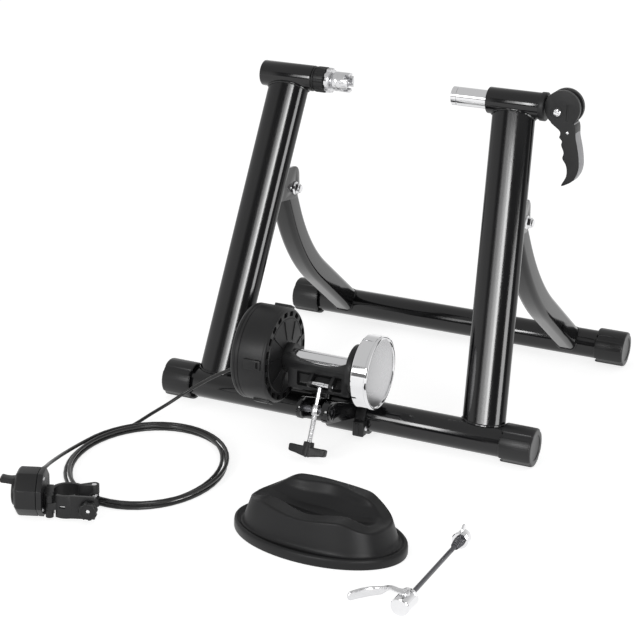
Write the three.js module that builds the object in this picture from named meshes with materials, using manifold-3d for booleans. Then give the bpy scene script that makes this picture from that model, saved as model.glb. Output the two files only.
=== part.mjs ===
import * as THREE from 'three';
import { mergeVertices } from 'three/addons/utils/BufferGeometryUtils.js';
import Module from 'manifold-3d';

const wasm = await Module();
wasm.setup();

// Millimetres. X runs along the bars, Y from the front bar to the rear bar, Z up from the floor.

// Clearances that the whole set shares
const fit = {
  gap: 0.3, // between pieces that lie against each other
  running: 0.2, // radial, where one piece turns or slides in another
  overrun: 4, // how far a cut runs past what it cuts
};

// Welded frame: two bars, two uprights and the axle tubes on top
const frame = {
  capSpan: 490, // over the end faces of the foot caps
  barSpread: 379, // front bar axis to rear bar axis
  barOd: 38,
  barWall: 2,
  axleHeight: 397,
  axleSetback: 137, // axle behind the front bar
  uprightInset: 66.6, // centre of an upright at the bar, in from the cap's end face
  uprightHead: 147.6, // and at the axle tube, from the middle
  uprightWidth: 53,
  uprightDepth: 26,
  uprightWall: 2,
  axleTubeOd: 32,
  axleTubeId: 23.6,
  axleTubeLength: 70,
  axleTubeCentre: 150,
};

// Foot caps on the bar ends
const cap = {
  radius: 23.4,
  grooveRadius: 22.5,
  length: 37,
  tongue: 2.3,
  end: 4,
  insetRadius: 15,
  insetDepth: 1,
  padHalfAngle: 34, // degrees
  flatHalfAngle: 8,
};

// Rear legs, curved, folding about the bolts in the pivot brackets
const leg = {
  width: 28,
  depth: 32,
  cornerRadius: 8,
  wall: 2,
  pivotDrop: 142, // bolt below the axle
  pivotStandOff: 45.2, // and behind the upright's centre line
  pivotInset: 4.3, // leg nearer the middle than the upright's centre there
  footInset: 79, // in from the cap's end face
  headRadius: 15,
  steepLead: 16.7, // degrees, steeper at the pivot than the line from pivot to bar
  lowLag: 9.2, // and flatter at the rear bar
  bendRadius: 330,
};

const bracket = {
  ear: 3.5,
  clearance: 1.2,
  earRadius: 15,
  topRadius: 16,
  topRise: 15,
  topSetback: 2,
  footDrop: 22,
  headRise: 32,
  web: 3,
};

const bolt = {
  shank: 9.8,
  hole: 10.2,
  head: 16,
  headHeight: 5,
  flange: 20,
  flangeHeight: 1.6,
  nut: 14,
  nutHeight: 6.5,
};

// Left clamp: ribbed knob, lock ring and crown cup on one screw
const adjuster = {
  knobLength: 16.7,
  knobRadius: 16,
  ribDepth: 1,
  ribs: 12,
  sleeveLength: 22,
  ringLength: 6,
  ringRadius: 15.6,
  ringScallops: 10,
  scallopDepth: 1.6,
  spacing: 1,
  cupLength: 23.7,
  cupRadius: 12.2,
  shoulderRadius: 9.6,
  shoulderLength: 2.5,
  bowlRadius: 8.6,
  bowlDepth: 12,
  crownDepth: 5.5,
  crownWidth: 5,
  crownNotches: 4,
  screwRadius: 8,
  screwLength: 52,
};

// Right clamp: chrome pin pushed by a spring, drawn back by the cam lever
const pin = {
  tip: 69, // from the middle of the frame
  radius: 11.5,
  shoulder: 146,
  grooveAt: 7,
  grooveWidth: 1.6,
  grooveDepth: 0.9,
  bowlRadius: 8,
  bowlFloorRadius: 5.5,
  bowlDepth: 7,
  tailRadius: 6,
  tangStart: 172,
  tangHalfWidth: 4,
  tangRadius: 6.4,
  chamfer: 1,
};

const spring = { wire: 1.9, radius: 9, turns: 5 };

const collar = { start: 181, end: 187.5, radius: 17.2 };

const lever = {
  discX: 209.3,
  discDrop: -2.2, // the disc centre is above the axle
  discRadius: 21.5,
  thickness: 20.6,
  slot: 9,
  slotDrop: 14,
  pivotBack: 6.1, // pivot from the disc centre, towards the frame
  pivotDrop: 5.4,
  pivotRadius: 3,
  pivotHead: 4.6,
  pivotSunk: 0.8,
  recessRadius: 8,
  recessDepth: 1.2,
  barLength: 19.7,
  barWidth: 2.4,
  barAhead: 6.7,
  barRaise: 4.6,
  rivetRadius: 1.6,
  rivetAhead: 8.2,
  rivetDrop: 28.1,
};
// Handle outline from the disc centre, in shares of the disc radius
const handleShares = [
  [-0.62, -0.78], [-0.04, -1.27], [-0.02, -1.46], [-0.06, -1.6], [0.11, -1.8], [0.08, -2.0], [0.25, -2.44],
  [0.2, -2.75], [0.42, -3.1], [0.5, -3.45], [0.47, -3.78], [0.24, -4.3], [0.55, -4.18], [0.86, -3.96],
  [1.06, -3.6], [1.15, -3.2], [1.12, -2.7], [1.01, -2.11], [0.86, -1.55], [0.7, -0.75],
];

// Resistance unit, placed by the roller axis
const unit = {
  y: -58,
  z: 104,
  tiltY: -8,
  tiltZ: 68,
};

const roller = { radius: 11.4, left: -40.6, right: 34.6, shaft: 5, journal: 7 };

const flywheel = {
  inner: 49,
  outer: 69.7,
  radius: 43.7,
  chamfer: 1.6,
  dome: 1.4,
  faceShare: 0.55,
  boreDepth: 14,
};

const bearing = { outer: 9.5, width: 7 };

const drum = {
  corner: 1,
  face: -55,
  seam: -89.5,
  back: -100,
  radius: 57.6,
  wall: 2.6,
  edge: 4,
  ventOuter: 53.5,
  ventInner: 47.5,
  vents: 20,
  ventWidth: 9,
  coneBase: 45,
  coneTip: 18,
  coneEnd: -51.4,
  backDish: 6,
  clipLength: 22,
  clipWidth: 12,
  clipHeight: 3,
  clipBite: 1.4,
  sides: 30,
};
const clipAngles = [0, 62, 175, 242]; // degrees round the drum from +Y

const brake = {
  rotorRadius: 47,
  rotorThick: 3,
  rotorAt: -73,
  hubRadius: 11,
  hubLength: 9,
  carrierRadius: 49,
  carrierThick: 4,
  carrierAt: -84,
  magnetOuter: 44,
  magnetInner: 28,
  magnetThick: 3,
  magnetSunk: 2,
  pivotRadius: 9.6,
};

const gland = { y: 6, z: -24, radius: 5, length: 6 };

const cradle = {
  lugRoot: 2,
  leftOuter: -50.8,
  leftInner: -41.6,
  rightInner: 35.6,
  rightOuter: 46,
  leftHub: 17,
  rightHub: 29,
  saddleInner: 13.2,
  saddleOuter: 17.6,
  saddleFrontRise: 11,
  saddleRearDrop: 3,
  dip: 10,
  eyeRadius: 11,
  lugThick: 4,
  lugRadius: 6.4,
};

// Tension bolt that tips the unit onto the tyre
const tension = {
  tipShare: 0.35,
  middleShare: 0.5,
  tipHeightShare: 0.7,
  trunnionFlatShare: 0.8,
  x: 3,
  topY: -80.6,
  topZ: 85.4,
  nutY: -93,
  nutZ: 57.8,
  rodRadius: 3.2,
  rodLength: 84,
  crossLength: 32,
  crossRadius: 3.4,
  trunnionRadius: 7,
  trunnionLength: 17,
  pinRadius: 4.2,
  knobHubRadius: 6.4,
  knobHubLength: 13,
  knobSpan: 46,
  knobHeight: 12,
  knobThick: 11,
  knobFromTop: 68.5,
};

const unitBracket = {
  boltEnd: 2,
  boltHeadShare: 1.5,
  screwAngle: 200,
  screwInShare: 0.4,
  left: -17,
  right: 23,
  plate: 5,
  rightPlate: 8,
  earRadius: 13,
  barWrap: 5,
  eyeRadius: 11,
  pivotBolt: 4.9,
  sleeveRadius: 7.5,
  strapWidth: 12,
  strapThick: 4,
  screwRadius: 4,
  screwHead: 3,
};

// Handlebar remote, placed by the centre of its clamp ring
const remote = {
  axleBite: 1,
  x: -166.5,
  y: -364.5,
  turn: 22, // degrees about Z
  bodyStart: -55.5,
  bodyEnd: -31,
  plateEnd: -24.8,
  bodyRadius: 25, // to the flats of the eight-sided case
  bodyEdge: 3,
  hubRadius: 16,
  hubThick: 4,
  tabReach: 14,
  tabWidth: 12,
  tabThick: 5,
  tabRise: 13,
  axleRadius: 3,
  screwRadius: 2.4,
  screwHead: 1.5,
  screwRing: 22,
  bossY: 17,
  bossZ: 34,
  bossX: -42,
  bossRadius: 4.6,
  bossEnd: 26,
};
const screwAngles = [115, 220]; // degrees round the case from its own Y

const clamp = {
  hingeClear: 14,
  rootRadius: 2,
  rootInset: 1,
  rootDrop: 4,
  kneeLap: 3,
  slotShift: 3,
  ringInner: 15.5,
  ringOuter: 19.5,
  bottom: 3,
  top: 29,
  openAngle: 52, // degrees, where the rear half ends
  frontAngle: 308, // where the hinged half ends
  neckHalf: 11,
  neckReach: 17.5,
  hingeX: -17.5,
  hingeY: -15.5,
  hingeRadius: 4.4,
  hingePin: 1.9,
  knuckle: 9,
  bossX: 26,
  bossY: 17,
  bossRadius: 5.6,
  boltBarrel: 3.2,
  boltRadius: 2.2,
  boltLength: 44,
  armEndX: 32,
  armY: -16.5,
  armThick: 4,
  forkWidth: 5.6,
  slotLength: 6,
  slotHeight: 2.6,
  nutGap: 0.9, // lets the bolt swing out past the arm
  knobRadius: 10.5,
  knobLength: 9,
  knobLobes: 8,
  lobeDepth: 0.9,
};

// Cable from the unit to the remote
const cable = {
  diameter: 4.4,
  coilX: -152,
  coilY: -217.5,
  coilHalfWidth: 93.4,
  coilHalfLength: 117.6,
  coilTurn: 14.8, // degrees
  pitch: 6.4,
  layerRise: 5.1,
  startAngle: 140,
  turns: 3.05,
  steps: 24,
  coilSides: 6,
  tubeSides: 8,
  floorGap: 0.1,
  spacing: 12,
};
// Route points, chosen by hand
const leadRoute = [
  [-115, -52, 79.6], [-128, -52, 72], [-152, -52, 58], [-173, -52.5, 43.5], [-191, -57, 30.5],
  [-208, -71, 17], [-220, -93, 8.6], [-226.5, -117, 4], [-232, -139, 2.5],
];
const tailRoute = [[-247.5, -218, 8.4], [-243, -255, 13], [-231, -300, 22], [-219.5, -331, 30]];

// Block that carries the front wheel
const block = {
  x: 102,
  y: -290,
  turn: -5, // degrees about Z
  halfLength: 101,
  halfWidth: 64,
  flangeHeight: 12,
  flangeRound: 3,
  bodyHalfLength: 88,
  bodyHalfWidth: 51,
  topInset: 14,
  topTuck: 8,
  height: 56,
  endDrop: 21,
  wall: 4,
  grooveHalfWidth: 23,
  grooveWave: 4,
  grooveDepth: 24,
  wheelRadius: 340,
  sides: 28,
};

// Height of the block's front ridge at shares of its half length
const frontRidge = [
  [-1.1, 34], [-0.85, 42], [-0.6, 46], [-0.3, 40], [0, 38],
  [0.3, 40], [0.6, 46], [0.85, 42], [1.1, 34],
];

// Quick-release skewer
const skewer = {
  collarStep: 1,
  x: 244.5,
  rodRadius: 2.5,
  rodStart: -388,
  rodEnd: -233,
  bodyStart: -412,
  bodyEnd: -385,
  bodyRadius: 10,
  leverPivotY: -399,
  leverRadius: 4,
  leverBore: 4.3,
  leverThick: 6,
  nutStart: -246,
  nutEnd: -230,
  nutRadius: 8.2,
  nutCollar: 3,
  wingReach: 15,
  wingThick: 2.4,
  springStart: -262,
  springTurns: 5,
  springWire: 1.1,
  springSmall: 3.8,
  springLarge: 6.6,
};
// Centre line of the skewer lever from its pivot and its half widths, in shares of its reach
const skewerLeverShares = [
  [-0.2, 0, 0.075], [-0.34, 0.13, 0.075], [-0.55, 0.13, 0.09], [-0.8, -0.03, 0.105], [-1, -0.28, 0.1],
];
const skewerLeverReach = 54;

const looks = {
  blackPaint: { color: 0x17181a, roughness: 0.3, metalness: 0.1 },
  blackPlastic: { color: 0x26272a, roughness: 0.62, metalness: 0 },
  blackRubber: { color: 0x1d1d1f, roughness: 0.8, metalness: 0 },
  chrome: { color: 0xd5d7da, roughness: 0.12, metalness: 1 },
  satinSteel: { color: 0xb9bcc0, roughness: 0.34, metalness: 1 },
  darkSteel: { color: 0x55585c, roughness: 0.4, metalness: 0.9 },
  aluminium: { color: 0xb4b7bb, roughness: 0.45, metalness: 0.9 },
};

const fine = 22; // sides of large round shapes
const middling = 16;
const coarse = 12; // sides of small ones
const degrees = Math.PI / 180;

// Turning a closed mesh into a solid and back
function toSolid(geometry) {
  const bare = geometry.clone();
  bare.deleteAttribute('normal');
  bare.deleteAttribute('uv');
  const merged = mergeVertices(bare, 1e-4);
  const vertProperties = Float32Array.from(merged.attributes.position.array);
  const triVerts = Uint32Array.from(merged.index.array);
  if (signedVolume(vertProperties, triVerts) < 0) {
    for (let i = 0; i < triVerts.length; i += 3) {
      [triVerts[i], triVerts[i + 1]] = [triVerts[i + 1], triVerts[i]];
    }
  }
  return new wasm.Manifold(new wasm.Mesh({ numProp: 3, vertProperties, triVerts }));
}

function signedVolume(points, triangles) {
  const corner = (i) => new THREE.Vector3().fromArray(points, 3 * i);
  let total = 0;
  for (let i = 0; i < triangles.length; i += 3) {
    const [a, b, c] = [triangles[i], triangles[i + 1], triangles[i + 2]].map(corner);
    total += a.dot(b.cross(c)) / 6;
  }
  return total;
}

function toGeometry(solid) {
  const mesh = solid.getMesh();
  const geometry = new THREE.BufferGeometry();
  geometry.setAttribute('position', new THREE.BufferAttribute(new Float32Array(mesh.vertProperties), 3));
  geometry.setIndex(new THREE.BufferAttribute(new Uint32Array(mesh.triVerts), 1));
  geometry.computeVertexNormals();
  return geometry;
}

// The matrix that lays a shape drawn in its own XY plane across the X, Y or Z axis
const across = {
  x: new THREE.Matrix4().set(0, 0, 1, 0, 1, 0, 0, 0, 0, 1, 0, 0, 0, 0, 0, 1),
  y: new THREE.Matrix4().set(1, 0, 0, 0, 0, 0, 1, 0, 0, 1, 0, 0, 0, 0, 0, 1),
  z: new THREE.Matrix4(),
};

// A flat shape, given in the two other coordinates, thickened along an axis
function plate(axis, outline, from, to, curveSegments = 8) {
  const shape = outline instanceof THREE.Shape
    ? outline
    : new THREE.Shape(outline.map(([u, v]) => new THREE.Vector2(u, v)));
  const geometry = new THREE.ExtrudeGeometry(shape, { depth: to - from, bevelEnabled: false, curveSegments });
  geometry.translate(0, 0, from);
  geometry.applyMatrix4(across[axis]);
  return toSolid(geometry);
}

function disc(u, v, radius, sides = fine) {
  return Array.from({ length: sides }, (_, i) => {
    const angle = ((i + 0.5) / sides) * 2 * Math.PI;
    return [u + radius * Math.cos(angle), v + radius * Math.sin(angle)];
  });
}

function rod(axis, u, v, radius, from, to, sides = fine) {
  return plate(axis, disc(u, v, radius, sides), from, to);
}

// Discs joined by their common tangents, as a linkage plate is
function linkPlate(axis, circles, from, to, sides = fine) {
  const points = circles.flatMap(([u, v, radius]) => disc(u, v, radius, sides));
  return plate(axis, hull(points), from, to);
}

function hull(points) {
  const sorted = [...points].sort((a, b) => a[0] - b[0] || a[1] - b[1]);
  const turn = (o, a, b) => (a[0] - o[0]) * (b[1] - o[1]) - (a[1] - o[1]) * (b[0] - o[0]);
  const chain = (list) => {
    const out = [];
    for (const point of list) {
      while (out.length > 1 && turn(out[out.length - 2], out[out.length - 1], point) <= 0) {
        out.pop();
      }
      out.push(point);
    }
    out.pop();
    return out;
  };
  return [...chain(sorted), ...chain(sorted.reverse())];
}

function block3(low, high) {
  const size = high.map((value, i) => value - low[i]);
  const geometry = new THREE.BoxGeometry(...size);
  geometry.translate(...low.map((value, i) => value + size[i] / 2));
  return toSolid(geometry);
}

// A profile of [place along X, radius] turned about the X axis
function turned(profile, sides = fine) {
  const points = profile.map(([along, radius]) => new THREE.Vector2(radius, along));
  const geometry = new THREE.LatheGeometry([...points, points[0]], sides);
  geometry.rotateZ(-Math.PI / 2);
  geometry.rotateX(Math.PI / sides);
  return toSolid(geometry);
}

// Skin over rings of points, closed by a fan at each end
function skin(rings) {
  const sides = rings[0].length;
  const positions = rings.flat().flatMap((point) => point.toArray());
  const faces = [];
  for (let ring = 0; ring + 1 < rings.length; ring += 1) {
    for (let side = 0; side < sides; side += 1) {
      const a = ring * sides + side;
      const b = ring * sides + ((side + 1) % sides);
      faces.push(a, b, a + sides, b, b + sides, a + sides);
    }
  }
  const last = (rings.length - 1) * sides;
  for (let side = 1; side + 1 < sides; side += 1) {
    faces.push(0, side + 1, side, last, last + side, last + side + 1);
  }
  const geometry = new THREE.BufferGeometry();
  geometry.setAttribute('position', new THREE.BufferAttribute(Float32Array.from(positions), 3));
  geometry.setIndex(faces);
  return geometry;
}

// Rings of a round tube along a list of points, carried along without twist
function tubeRings(points, radius, sides) {
  const rings = [];
  let side = null;
  points.forEach((point, i) => {
    const before = points[Math.max(i - 1, 0)];
    const after = points[Math.min(i + 1, points.length - 1)];
    const along = after.clone().sub(before).normalize();
    if (side === null) {
      const helper = Math.abs(along.z) < 0.9 ? new THREE.Vector3(0, 0, 1) : new THREE.Vector3(1, 0, 0);
      side = helper.cross(along).normalize();
    } else {
      side = side.clone().addScaledVector(along, -side.dot(along)).normalize();
    }
    const other = along.clone().cross(side);
    rings.push(Array.from({ length: sides }, (_, k) => {
      const angle = ((k + 0.5) / sides) * 2 * Math.PI;
      return point.clone()
        .addScaledVector(side, radius * Math.cos(angle))
        .addScaledVector(other, radius * Math.sin(angle));
    }));
  });
  return rings;
}

function tube(points, radius, sides) {
  return toSolid(skin(tubeRings(points, radius, sides)));
}

// The same tube straight off its rings, for windings
function woundTube(points, radius, sides) {
  const geometry = skin(tubeRings(points, radius, sides));
  geometry.computeVertexNormals();
  return geometry;
}

function stadium(width, depth, sides = coarse) {
  const radius = depth / 2;
  const reach = width / 2 - radius;
  return hull([...disc(-reach, 0, radius, sides), ...disc(reach, 0, radius, sides)]);
}

function roundedBox(width, depth, radius, sides = coarse) {
  const corners = [[1, 1], [-1, 1], [-1, -1], [1, -1]];
  return hull(corners.flatMap(([u, v]) => disc(
    u * (width / 2 - radius), v * (depth / 2 - radius), radius, sides,
  )));
}

// A flat section carried straight from one point to another, its width kept level
function strut(section, from, to) {
  const along = to.clone().sub(from).normalize();
  const wide = new THREE.Vector3(1, 0, 0).addScaledVector(along, -along.x).normalize();
  const deep = along.clone().cross(wide);
  const ring = (centre) => section.map(
    ([u, v]) => centre.clone().addScaledVector(wide, u).addScaledVector(deep, v),
  );
  return toSolid(skin([ring(from), ring(to)]));
}

const root = new THREE.Group();

function addPiece(parent, name, solid, look) {
  const geometry = solid.isBufferGeometry ? solid : toGeometry(solid);
  const mesh = new THREE.Mesh(geometry, new THREE.MeshStandardMaterial(looks[look]));
  mesh.name = name;
  parent.add(mesh);
  return mesh;
}

const barRadius = frame.barOd / 2;
const barHeight = cap.radius; // bar axis above the floor
const barEnd = frame.capSpan / 2 - cap.end - fit.gap;
const uprightFoot = frame.capSpan / 2 - frame.uprightInset;
const uprightRise = frame.axleHeight - barHeight;
const pivotZ = frame.axleHeight - leg.pivotDrop;
const pivotShare = (pivotZ - barHeight) / uprightRise;
const pivotY = pivotShare * frame.axleSetback + leg.pivotStandOff;
const legPivotX = uprightFoot + (frame.uprightHead - uprightFoot) * pivotShare - leg.pivotInset;
const legFootX = frame.capSpan / 2 - leg.footInset;
const sides = [['left', -1], ['right', 1]];

// Bars
function barTube(y) {
  const tubeSolid = rod('x', y, barHeight, barRadius, -barEnd, barEnd);
  return tubeSolid.subtract(
    rod('x', y, barHeight, barRadius - frame.barWall, -barEnd - fit.overrun, barEnd + fit.overrun),
  );
}
addPiece(root, 'front_bar', barTube(0), 'blackPaint');
addPiece(root, 'rear_bar', barTube(frame.barSpread), 'blackPaint');

// Foot caps: a sleeve with four raised pads, the lowest one flat
function footCap(side, y) {
  const end = frame.capSpan / 2;
  const inner = end - cap.length;
  const sideAngles = [cap.flatHalfAngle, cap.padHalfAngle / 2, cap.padHalfAngle];
  const angles = [...sideAngles.map((angle) => -angle).reverse(), ...sideAngles];
  const flatRadius = cap.radius / Math.cos(cap.flatHalfAngle * degrees);
  const padPoint = (turn, angle) => {
    const radius = Math.abs(angle) === cap.flatHalfAngle ? flatRadius : cap.radius;
    const at = (turn + angle) * degrees;
    return [radius * Math.cos(at), radius * Math.sin(at)];
  };
  const span = (from, to) => (side > 0 ? [from, to] : [-to, -from]);
  let solid = rod('x', 0, 0, cap.grooveRadius, ...span(inner, end));
  for (const turn of [0, 90, 180, 270]) {
    const outline = [[0, 0], ...angles.map((angle) => padPoint(turn, angle))];
    solid = solid.add(plate('x', outline, ...span(inner - cap.tongue, end)));
  }
  solid = solid.subtract(
    rod('x', 0, 0, barRadius + fit.running, ...span(inner - cap.tongue - fit.overrun, end - cap.end)),
  );
  solid = solid.subtract(rod('x', 0, 0, cap.insetRadius, ...span(end - cap.insetDepth, end + fit.overrun)));
  return solid.translate(0, y, barHeight);
}
for (const [name, side] of sides) {
  addPiece(root, `front_${name}_cap`, footCap(side, 0), 'blackPlastic');
  addPiece(root, `rear_${name}_cap`, footCap(side, frame.barSpread), 'blackPlastic');
}

// Uprights, cut to sit on the bar and under the axle tube
const uprightEnds = (side) => [
  new THREE.Vector3(side * uprightFoot, 0, barHeight),
  new THREE.Vector3(side * frame.uprightHead, frame.axleSetback, frame.axleHeight),
];
function uprightSolid(side, grow = 0) {
  return strut(stadium(frame.uprightWidth + 2 * grow, frame.uprightDepth + 2 * grow), ...uprightEnds(side));
}
const tubeStart = frame.axleTubeCentre - frame.axleTubeLength / 2;
const tubeEnd = frame.axleTubeCentre + frame.axleTubeLength / 2;
for (const [name, side] of sides) {
  const [foot, head] = uprightEnds(side);
  const hollow = strut(stadium(
    frame.uprightWidth - 2 * frame.uprightWall, frame.uprightDepth - 2 * frame.uprightWall,
  ),
    foot.clone().lerp(head, -0.1), foot.clone().lerp(head, 1.1));
  const solid = uprightSolid(side)
    .subtract(hollow)
    .subtract(rod('x', 0, barHeight, barRadius + fit.gap, -barEnd, barEnd))
    .subtract(rod('x', frame.axleSetback, frame.axleHeight, frame.axleTubeOd / 2 + fit.gap, -barEnd, barEnd));
  addPiece(root, `${name}_upright`, solid, 'blackPaint');
  const span = side > 0 ? [tubeStart, tubeEnd] : [-tubeEnd, -tubeStart];
  const outer = rod('x', frame.axleSetback, frame.axleHeight, frame.axleTubeOd / 2, ...span);
  const bore = rod('x', frame.axleSetback, frame.axleHeight, frame.axleTubeId / 2, -barEnd, barEnd);
  addPiece(root, `${name}_axle_tube`, outer.subtract(bore), 'blackPaint');
}

// Rear legs: steep at the pivot, one long bend, then low to the bar
const legPivot = new THREE.Vector2(pivotY, pivotZ);
const legFoot = new THREE.Vector2(frame.barSpread, barHeight);
const legChordAngle = Math.atan2(pivotZ - barHeight, frame.barSpread - pivotY) / degrees;
const steepAngle = legChordAngle + leg.steepLead;
const lowAngle = legChordAngle - leg.lowLag;
const steep = new THREE.Vector2(Math.cos(steepAngle * degrees), -Math.sin(steepAngle * degrees));
const low = new THREE.Vector2(Math.cos(lowAngle * degrees), -Math.sin(lowAngle * degrees));
const legTurn = (steepAngle - lowAngle) * degrees;
const toFoot = legFoot.clone().sub(legPivot);
const steepRun = (toFoot.x * low.y - toFoot.y * low.x) / (steep.x * low.y - steep.y * low.x);
const bendTangent = leg.bendRadius * Math.tan(legTurn / 2);
function legCentre() {
  const corner = legPivot.clone().addScaledVector(steep, steepRun);
  const start = corner.clone().addScaledVector(steep, -bendTangent);
  const centre = start.clone().add(new THREE.Vector2(-steep.y, steep.x).multiplyScalar(leg.bendRadius));
  const points = [[legPivot.clone(), steep]];
  const steps = 8;
  for (let i = 0; i <= steps; i += 1) {
    const angle = (-steepAngle + ((steepAngle - lowAngle) * i) / steps) * degrees;
    const along = new THREE.Vector2(Math.cos(angle), Math.sin(angle));
    points.push(
      [centre.clone().addScaledVector(new THREE.Vector2(-along.y, along.x), -leg.bendRadius), along],
    );
  }
  points.push([legFoot.clone(), low]);
  return points;
}
function legX(side, z) {
  return side * (legPivotX + ((legFootX - legPivotX) * (pivotZ - z)) / (pivotZ - barHeight));
}
function legSolid(side, trim, extend) {
  const section = roundedBox(leg.width - 2 * trim, leg.depth - 2 * trim, leg.cornerRadius - trim, 8);
  const centres = legCentre();
  if (extend) {
    const last = centres.length - 1;
    centres[0] = [centres[0][0].clone().addScaledVector(steep, -leg.headRadius - extend), steep];
    centres[last] = [centres[last][0].clone().addScaledVector(low, extend), low];
  }
  return toSolid(skin(centres.map(([point, along]) => section.map(([u, v]) => {
    const y = point.x - along.y * v;
    const z = point.y + along.x * v;
    return new THREE.Vector3(legX(side, z) + u, y, z);
  }))));
}
const earInner = leg.width / 2 + bracket.clearance;
const earOuter = earInner + bracket.ear;
for (const [name, side] of sides) {
  const centreX = side * legPivotX;
  const head = rod('x', pivotY, pivotZ, leg.headRadius, centreX - leg.width / 2, centreX + leg.width / 2);
  const solid = legSolid(side, 0, 0)
    .add(head)
    .subtract(
      legSolid(side, leg.wall, fit.overrun).subtract(
        rod('x', pivotY, pivotZ, leg.headRadius - leg.wall, -barEnd, barEnd),
      ),
    )
    .subtract(rod('x', pivotY, pivotZ, bolt.hole / 2, -barEnd, barEnd, coarse))
    .subtract(rod('x', frame.barSpread, barHeight, barRadius + fit.gap, -barEnd, barEnd));
  addPiece(root, `${name}_rear_leg`, solid, 'blackPaint');
}

// Pivot brackets: two ears and a web behind each upright
function pivotBracket(side) {
  const centreX = side * legPivotX;
  const slope = frame.axleSetback / uprightRise;
  const faceY = (z) => (z - barHeight) * slope;
  const lowZ = pivotZ - bracket.footDrop;
  const highZ = pivotZ + bracket.headRise;
  const outline = hull([
    [faceY(lowZ), lowZ],
    [faceY(highZ), highZ],
    ...disc(pivotY, pivotZ, bracket.earRadius),
    ...disc(pivotY - bracket.topSetback, pivotZ + bracket.topRise, bracket.topRadius),
  ]);
  const earA = plate('x', outline, centreX - earOuter, centreX - earInner);
  const earB = plate('x', outline, centreX + earInner, centreX + earOuter);
  const web = plate('x', [
    [faceY(lowZ), lowZ],
    [faceY(lowZ) + frame.uprightDepth / 2 + fit.gap + bracket.web + fit.running, lowZ],
    [faceY(highZ) + frame.uprightDepth / 2 + fit.gap + bracket.web + fit.running, highZ],
    [faceY(highZ), highZ],
  ], centreX - earOuter, centreX + earOuter);
  const holeSolid = rod('x', pivotY, pivotZ, bolt.hole / 2, -barEnd, barEnd, coarse);
  return earA.add(earB).add(web).subtract(uprightSolid(side, fit.gap)).subtract(holeSolid);
}
for (const [name, side] of sides) {
  addPiece(root, `${name}_pivot_bracket`, largest(pivotBracket(side)), 'blackPaint');
}

// The largest of the loose lumps that a cut can leave
function largest(solid) {
  return solid.decompose().sort((a, b) => b.volume() - a.volume())[0];
}

// Fold bolts, each with its flanged nut on the +X side
for (const [name, side] of sides) {
  const centreX = side * legPivotX;
  const start = centreX - earOuter - fit.gap;
  const nutStart = centreX + earOuter + fit.gap;
  const nutEnd = nutStart + bolt.flangeHeight + bolt.nutHeight;
  const boltSolid = rod('x', pivotY, pivotZ, bolt.shank / 2, start, nutEnd + fit.gap, coarse)
    .add(rod('x', pivotY, pivotZ, bolt.head / 2, start - bolt.headHeight, start, coarse));
  addPiece(root, `${name}_fold_bolt`, boltSolid, 'chrome');
  const nutSolid = rod('x', pivotY, pivotZ, bolt.flange / 2, nutStart, nutStart + bolt.flangeHeight, coarse)
    .add(rod('x', pivotY, pivotZ, bolt.nut / 2, nutStart, nutEnd, 6))
    .subtract(rod('x', pivotY, pivotZ, bolt.hole / 2, nutStart - fit.overrun, nutEnd + fit.overrun, coarse));
  addPiece(root, `${name}_fold_nut`, nutSolid, 'chrome');
}

// Left clamp, in a group on the axle line
const axle = new THREE.Group();
axle.position.set(0, frame.axleSetback, frame.axleHeight);
root.add(axle);
const knobStart = -tubeStart + fit.gap;
const knobEnd = knobStart + adjuster.knobLength;
const ringStart = knobEnd + adjuster.spacing;
const ringEnd = ringStart + adjuster.ringLength;
const cupStart = ringEnd + fit.gap;
const cupEnd = cupStart + adjuster.cupLength;
const screwBore = adjuster.screwRadius + fit.running;
function ribbedRing(from, to, radius, depth, count) {
  const outline = [];
  for (let i = 0; i < count; i += 1) {
    for (const [share, cut] of [[0.08, 0], [0.55, 0], [0.64, depth], [0.98, depth]]) {
      const angle = ((i + share) / count) * 2 * Math.PI;
      outline.push([(radius - cut) * Math.cos(angle), (radius - cut) * Math.sin(angle)]);
    }
  }
  return plate('x', outline, from, to);
}
const knobSolid = ribbedRing(knobStart, knobEnd, adjuster.knobRadius, adjuster.ribDepth, adjuster.ribs)
  .add(
    rod(
      'x',
      0,
      0,
      frame.axleTubeId / 2 - fit.running,
      knobStart - adjuster.sleeveLength,
      knobStart + fit.overrun,
    ),
  )
  .subtract(
    rod(
      'x', 0, 0, screwBore, knobStart - adjuster.sleeveLength - fit.overrun, knobEnd + fit.overrun, middling,
    ),
  );
addPiece(axle, 'adjuster_knob', knobSolid, 'blackPlastic');
const lockRing = ribbedRing(
  ringStart, ringEnd, adjuster.ringRadius, adjuster.scallopDepth, adjuster.ringScallops,
)
  .subtract(rod('x', 0, 0, screwBore, ringStart - fit.overrun, ringEnd + fit.overrun, middling));
addPiece(axle, 'lock_ring', lockRing, 'satinSteel');
function crownCup() {
  let solid = turned([
    [cupStart - adjuster.screwLength, 0],
    [cupStart - adjuster.screwLength, adjuster.screwRadius],
    [cupStart, adjuster.screwRadius],
    [cupStart, adjuster.shoulderRadius],
    [cupStart + adjuster.shoulderLength, adjuster.cupRadius],
    [cupEnd, adjuster.cupRadius],
    [cupEnd, adjuster.bowlRadius],
    [cupEnd - adjuster.bowlDepth, adjuster.bowlRadius],
    [cupEnd - adjuster.bowlDepth, 0],
  ], middling);
  const half = adjuster.crownWidth / 2;
  const notch = block3([cupEnd - adjuster.crownDepth, -adjuster.cupRadius - fit.overrun, -half],
    [cupEnd + fit.overrun, adjuster.cupRadius + fit.overrun, half]);
  for (let i = 0; i < adjuster.crownNotches / 2; i += 1) {
    solid = solid.subtract(notch.rotate(45 + (i * 360) / adjuster.crownNotches, 0, 0));
  }
  return solid;
}
addPiece(axle, 'crown_cup', crownCup(), 'satinSteel');

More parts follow.
